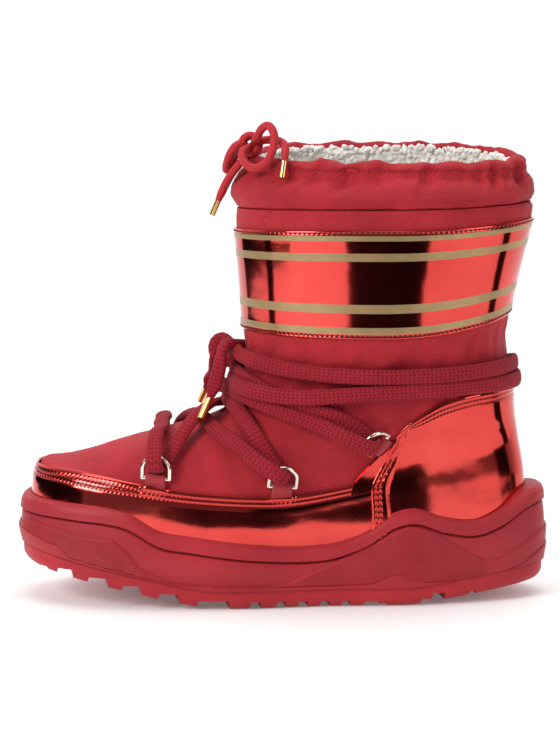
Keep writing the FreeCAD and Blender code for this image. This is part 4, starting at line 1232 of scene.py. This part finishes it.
def build_heel_cover():
    """Leather over the heel: u runs along its sewn edge, v inwards from it and down to the sole."""
    edge = heel_edge_line()
    along = np.gradient(edge, axis=0)
    inward = np.stack((along[:, 1], -along[:, 0]), 1)
    inward /= np.linalg.norm(inward, axis=1, keepdims=True)
    soft = np.hanning(31) / np.hanning(31).sum()
    inward = np.stack([np.convolve(np.pad(column, 15, "edge"), soft, "valid") for column in inward.T], 1)
    shares = np.linspace(0, 1, len(edge))
    steps = np.array((0, .35, .7, 1.1, 1.5, 1.9, 2.3, 2.7, 3.2, 3.7, 4.2, 4.7, 5.3, 6.2, 7.5, 9))

    def lifted(flat, distance):
        around, height = flat[:, 0] / GIRTH, np.clip(flat[:, 1], 22.5, 130)
        level = level_at(around, height)
        base = skin(around, level, LEATHER_LIFT)
        swell = tab_swell(base) * (1 - ease(distance, 5.0, 13.0))
        front = 1.1 * (1 - ease(distance, 3.0, 40.0)) * (1 - ease(height, 62, 84))
        lift = front + swell + edge_profile(distance, EDGE_ROWS)
        lift = lift + 0.3 * ripple(base[:, 0] / 30, base[:, 1] / 30, base[:, 2] / 24, 2.2)
        return skin(around, level, LEATHER_LIFT + lift), outward(around, level)

    def near_edge(u, distance):
        return read_line(edge, shares, u) + read_line(inward, shares, u) * distance[:, None]

    def place(u, v):
        at = v * rows
        distance = entry(steps, at)
        inner = near_edge(u, np.full(u.shape, steps[-1]))
        foot_x = 0.5 * GIRTH + (inner[:, 0] - 0.5 * GIRTH) * 0.96
        foot = np.stack((foot_x, np.full(u.shape, 23.0)), 1)
        down = np.clip((at - (len(steps) - 1)) / (rows - len(steps) + 1), 0, 1)[:, None]
        flat = np.where(down > 0, inner * (1 - down) + foot * down, near_edge(u, distance))
        return lifted(flat, np.where(down[:, 0] > 0, steps[-1] + down[:, 0] * 60, distance))[0]

    def uv(u, v):
        at = v * rows
        distance = entry(steps, at) + np.maximum(at - len(steps) + 1, 0) * 2
        return u * run * MM, distance * MM

    def sewn(row):
        distance = np.full(u.shape, row)
        return lifted(near_edge(u, distance), distance)

    run = run_along(lifted(edge, 0 * shares)[0])[-1]
    rows = 44
    leather("heel_leather", laid_grid(400, rows, place, uv), (0.06, 0.0), MIRROR, "heel_cover")
    u = np.linspace(0.02, 0.98, 1100)
    sew("heel", EDGE_ROWS, sewn, 0.12, 2.3, 0.38)


def build_band():
    """Striped leather round the shaft: v runs up from its lower sewn edge."""
    steps = np.array((0, .4, .8, 1.2, 1.6, 2.0, 2.4, 2.8, 3.3, 4, 5, 6.5, 9, 12, 16, 20, 24, 27.5))
    steps = np.concatenate((steps, BAND_HEIGHT - steps[-2::-1]))

    def spot(u, distance):
        level = 8 + distance / BAND_HEIGHT
        base = skin(u, level, LEATHER_LIFT)
        lift = edge_profile(np.minimum(distance, BAND_HEIGHT - distance), (BAND_ROW,))
        lift = lift + 0.5 * ripple(base[:, 0] / 34, base[:, 1] / 34, base[:, 2] / 60, 7.7)
        return skin(u, level, LEATHER_LIFT + lift), outward(u, level)

    def place(u, v):
        return spot(u, entry(steps, v * (len(steps) - 1)))[0]

    def uv(u, v):
        return u * 0.435, entry(steps, v * (len(steps) - 1)) * MM

    bm = laid_grid(420, len(steps) - 1, place, uv, wrap_u=True)
    leather("shaft_band_leather", bm, (0.05, 0.0), MIRROR_BAND, "shaft_band")
    u = np.linspace(0, 1, 1600)
    rows = (BAND_ROW, BAND_HEIGHT - BAND_ROW)
    sew("band", rows, lambda row: spot(u, np.full(u.shape, row)), 0.1, 2.7, 0.42)


# ---------------------------------------------------------------- collar
COLLAR_TOP = ((1.1, 3.4), (0.55, 4.6), (0.7, 5.9), (1.5, 7.2), (2.9, 8.1), (4.3, 8.3), (5.7, 7.9),
              (6.9, 6.8), (7.4, 5.2), (7.2, 3.4), (7.3, 0.0), (7.6, -7.0))
COLLAR_SLANT = 0.006
COLLAR_WALL = 0.7


def gather(around, seed=0.0):
    """Gathers of the collar round its girth: rounded swells between narrow creases, from -1 to 1."""
    wave = ripple(around * GIRTH / 17, 0 * around, 0 * around + seed, 21.0)
    fine = ripple(around * GIRTH / 7.5, 0 * around, 0 * around + seed, 33.0)
    return 1.0 - 3.2 * np.abs(wave) + 0.8 * fine


def collar_sleeve(u, level):
    """The sleeve between the crease and the casing's stitch line."""
    base = form(u, level)
    blouse = -0.9 + 0.6 * np.sin(np.pi * np.clip((level - FOLD) / 1.3, 0, 1)) ** 0.7
    blouse = blouse - 1.1 * (1 - ease(level, FOLD, FOLD + 0.16))
    folds = 1.8 * gather(u + COLLAR_SLANT * (TOP - level)) * ease(level, 11.0, 12.9)
    soft = 1.5 * ripple(base[:, 0] / 24, base[:, 1] / 24, base[:, 2] / 11, 4.4)
    soft = soft * ease(level, 10.05, 10.6)
    tuck = 0.8 * ripple(u * GIRTH / 14, 0 * u, 0 * u, 55.0) * bell(level, 10.35, 0.4)
    return skin(u, level, blouse + folds + soft + tuck)


def collar_rim(u, along):
    """The drawcord casing: along runs from 0 at its stitch line over the top to 1 inside the lining."""
    at = np.clip(along, 0, 1) * (len(COLLAR_TOP) - 1)
    inward, rise = (entry(column, at) for column in zip(*COLLAR_TOP))
    loose = ease(at, 0.0, 2.0) * (1 - ease(at, 8.0, 10.0))
    puff = gather(u, 1.0)
    swell = 1 + 0.16 * puff * loose
    inward = 4.0 + (inward - 4.0) * swell - 1.8 * gather(u) * (1 - ease(at, 0.5, 4.0))
    wavy = 2.3 * ripple(u * GIRTH / 23, 0 * u, 0 * u, 41.0) + 0.45 * puff
    return collar_point(u, inward, rise + wavy * ease(at, -0.5, 3.0) * (1 - ease(at, 8.0, 11.0)))


def build_collar():
    """Sleeve and casing in one sheet of fabric, from the crease up and over the rim."""
    sleeve_rows, rim_rows = 40, 34

    def place(u, v):
        at = v * (sleeve_rows + rim_rows)
        level = FOLD - 0.06 + (TOP - FOLD + 0.06) * np.clip(at / sleeve_rows, 0, 1)
        sleeve = collar_sleeve(u, level)
        rim = collar_rim(u, (at - sleeve_rows) / rim_rows)
        join = ease(at, sleeve_rows - 1.5, sleeve_rows + 1.0)[:, None]
        return sleeve * (1 - join) + rim * join

    def uv(u, v):
        return u * GIRTH * MM, v * 0.055

    bm = laid_grid(560, sleeve_rows + rim_rows, place, uv, wrap_u=True)
    turn_out(bm, (0.05, 0.0))
    collar = piece("gathered_collar", bm, NYLON,
                   replaces=["collar_sleeve", "collar_casing"])
    thicken(collar, COLLAR_WALL)
    u = np.linspace(0.0, 1.0, 1600)
    facings = -rim_frame(u)[1]
    stitch_row("collar_stitches", collar_rim(u, 0 * u + 0.02) + facings * 0.25, facings, 2.9, 0.3,
               RED_THREAD)


# ---------------------------------------------------------------- lining
PILE_LIFT = -8.4
PILE_WALL = 3.4
CURL_SEED = 7
PILE_TOP = ((8.0, 2.6), (8.6, 4.2), (9.8, 4.9), (10.9, 4.0), (11.2, 1.6), (10.6, -2.0), (9.8, -5.0))


def build_lining():
    """Pile inside the boot: v runs over the rim, down the wall and over the floor to its middle line."""
    rows, top_rows, wall_rows = 108, 16, 78

    def place(u, v):
        at = v * rows - top_rows
        level = 12.2 - 11.75 * np.clip(at / wall_rows, 0, 1)
        wall = skin(u, level, PILE_LIFT)
        fleece = ripple(wall[:, 0] / 2.6, wall[:, 1] / 2.6, (wall[:, 2] + at) / 2.6, 14.0)
        wall = skin(u, level, PILE_LIFT + 0.9 * fleece)
        roll = np.clip((at + top_rows) / top_rows, 0, 1) * (len(PILE_TOP) - 1)
        inward, rise = (entry(column, roll) for column in zip(*PILE_TOP))
        rim = collar_point(u, inward + 0.8 * fleece, rise + 1.1 * fleece)
        join = ease(at, -2.0, 1.0)[:, None]
        wall = rim * (1 - join) + wall * join
        floor_share = np.clip((at - wall_rows) / (rows - wall_rows), 0, 1)
        floor_z = 27.0 + 0.75 * ground(np.minimum(wall[:, 0], 0.0))
        wall[:, 2] = np.maximum(wall[:, 2], floor_z)
        spine = np.clip(wall[:, 0] * 0.86, -104, 96)
        wall[:, 0] = wall[:, 0] * (1 - floor_share) + spine * floor_share
        wall[:, 1] = wall[:, 1] * (1 - floor_share)
        return wall

    bm = laid_grid(300, rows, place, wrap_u=True)
    bmesh.ops.remove_doubles(bm, verts=bm.verts, dist=1e-5)
    turn_out(bm, (0.03, 0.0))
    bmesh.ops.reverse_faces(bm, faces=bm.faces)
    lining = piece("pile_lining", bm, PILE,
                   replaces=["lining_foot", "lining_shaft", "footbed"])
    thicken(lining, PILE_WALL)


def build_curls():
    """Small curls of pile scattered along the lining's rim."""
    bm = bmesh.new()
    dice = np.random.default_rng(CURL_SEED)
    noise.seed_set(CURL_SEED)
    for _ in range(34):
        tuft = bmesh.new()
        for _ in range(30):
            around, inward = dice.random(), 8.8 + 2.6 * dice.random()
            spot = collar_point(around, inward, 5.4 - 10.5 * dice.random() ** 1.4)
            size = (1.0 + 0.8 * dice.random()) * (0.75 + 0.6 * dice.random(3))
            turn = Matrix.Rotation(6.28 * dice.random(), 4, Vector(dice.normal(size=3)).normalized())
            matrix = Matrix.Translation(spot) @ turn @ Matrix.Diagonal((*size, 1.0))
            curl = bmesh.ops.create_uvsphere(tuft, u_segments=8, v_segments=6, radius=1.0, matrix=matrix)
            for vert in curl["verts"]:
                vert.co = (vert.co + noise.noise_vector(vert.co / 1.1) * 0.5) * MM
        move_into(bm, tuft)
    bmesh.ops.recalc_face_normals(bm, faces=bm.faces)
    piece("pile_curls", bm, PILE)


# ---------------------------------------------------------------- webbing tabs
def build_tabs():
    """Webbing folded round each ring's bar, with both ends running in under the covers."""
    half = 0.45
    loop = WIRE / 2 + 0.07 + half
    for (side, which), fitting in FITTINGS.items():
        profile = [(-6.6, -2.45), (-4.6, -2.4), (-2.4, -1.8)]
        profile += [(loop * math.sin(t), -loop * math.cos(t)) for t in np.linspace(0.0, math.pi, 13)]
        profile += [(-1.6, 1.25), (-3.0, -0.4), (-4.4, -1.35), (-6.6, -1.5)]
        line, _ = resample(np.array([fitting.at(0, a, b) for a, b in profile]), 0.5)
        bm = swept(line, np.cross(directions(line), np.array(fitting.bar)), 5.2, half, 6.0, 36)
        piece("webbing_%s_%s" % (side, which), bm, WEBBING,
              replaces=["tab_%s_%s" % (side, which)])
        refinish("ring_%s_%s" % (side, which), NICKEL)


build_lace()
build_drawcord()
build_sidewall()
sole_groove_stitches()
build_upper()
build_mudguard()
build_heel_cover()
build_band()
build_collar()
build_lining()
build_curls()
build_tabs()
for node, finish in (("outsole", TREAD_RUBBER), ("midsole_filler", FOAM), ("steel_shank", SPRING_STEEL),
                     ("insole_board", BOARD), ("toe_puff", STIFFENER), ("heel_stiffener", STIFFENER)):
    refinish(node, finish)


# ---------------------------------------------------------------- stage, light and camera
CARD_RADIUS = 0.95
CARD_LIFT = 0.002
CARD_MIDDLE = 0.05
FELT = (0.004, 0.004, 0.004)
BOX_AIM = (0, 0, 0.12)


def stage(name, bm, finish_name, colour, roughness, glow=0.0):
    """A part of the studio, in one plain material."""
    finish = bpy.data.materials.new(finish_name)
    finish.use_nodes = True
    shader = finish.node_tree.nodes["Principled BSDF"]
    for key, value in {"Base Color": (*colour, 1.0), "Roughness": roughness, "Specular IOR Level": 0.1,
                       "Emission Color": (1.0, 1.0, 1.0, 1.0), "Emission Strength": glow}.items():
        shader.inputs[key].default_value = value
    mesh = mesh_of(name, bm)
    mesh.materials.append(finish)
    made = linked(name, mesh)
    return made


def floor():
    bm = bmesh.new()
    bmesh.ops.create_circle(bm, cap_ends=True, segments=96, radius=1.2)
    stage("floor", bm, "pale_floor", (0.9, 0.9, 0.9), 0.6, 0.12)


def standing(angle, height):
    return CARD_RADIUS * math.sin(angle), -CARD_RADIUS * math.cos(angle), height


def lying(angle, reach):
    return CARD_MIDDLE + reach * math.sin(angle), -reach * math.cos(angle), CARD_LIFT


def card(name, spot, start, end, low, high):
    """Dark card round the boot that shows only in reflections, from start to end in degrees from -Y."""
    bm = bmesh.new()
    bmesh.ops.create_grid(bm, x_segments=16, y_segments=1, size=0.5)
    for vert in bm.verts:
        angle = math.radians(start + (end - start) * (vert.co.x + 0.5))
        vert.co = spot(angle, low + (high - low) * (vert.co.y + 0.5))
    made = stage(name, bm, name + "_felt", FELT, 1.0)
    for ray in ("camera", "diffuse", "shadow", "transmission"):
        setattr(made, "visible_" + ray, False)


def soft_light(name, place, aim, width, height, power):
    light = bpy.data.lights.new(name, "AREA")
    light.shape = "RECTANGLE"
    light.size = width
    light.size_y = height
    light.energy = power
    made = linked(name, light)
    made.location = place
    made.rotation_euler = (Vector(aim) - Vector(place)).to_track_quat("-Z", "Y").to_euler()


floor()
card("band_flag", lying, -16, 25, 0.36, 1.3)
card("band_edge_flag", lying, 84, 96, 0.30, 1.3)
card("band_front_flag", lying, -84, -75, 0.30, 1.3)
card("heel_flag", standing, 8, 24, 0.0, 0.26)
card("toe_flag", standing, -130, -52, 0.0, 0.30)
card("rear_flag", standing, 66, 84, 0.0, 0.6)
soft_light("left_box", (-1.3, -1.2, 1.1), BOX_AIM, 0.7, 1.0, 27)
soft_light("right_box", (1.5, -1.0, 1.0), BOX_AIM, 0.7, 1.2, 8)
soft_light("top_box", (0.1, 0.1, 1.9), (0.02, 0, 0.1), 1.6, 1.6, 20)

world = bpy.data.worlds.new("studio")
bpy.context.scene.world = world
world.use_nodes = True
sky = world.node_tree
sky.nodes["Background"].inputs["Color"].default_value = (1.0, 1.0, 1.0, 1.0)
facing = sky.nodes.new("ShaderNodeTexCoord")
parts = sky.nodes.new("ShaderNodeSeparateXYZ")
bright = sky.nodes.new("ShaderNodeMapRange")
sky.links.new(facing.outputs["Generated"], parts.inputs[0])
sky.links.new(parts.outputs["Y"], bright.inputs["Value"])
sky.links.new(bright.outputs["Result"], sky.nodes["Background"].inputs["Strength"])
for key, value in {"From Min": -0.1, "From Max": 0.45, "To Min": 0.2, "To Max": 1.06}.items():
    bright.inputs[key].default_value = value
bpy.context.scene.view_settings.view_transform = "Standard"

AIM = Vector((-0.0016, 0.0, 0.118))
camera_data = bpy.data.cameras.new("camera")
camera_data.sensor_width = 36.0
camera_data.lens = 108.5
camera = linked("camera", camera_data)
camera.location = (-0.0016, -1.1911, 0.2642)
camera.rotation_euler = (AIM - camera.location).to_track_quat("-Z", "Y").to_euler()
bpy.context.scene.camera = camera
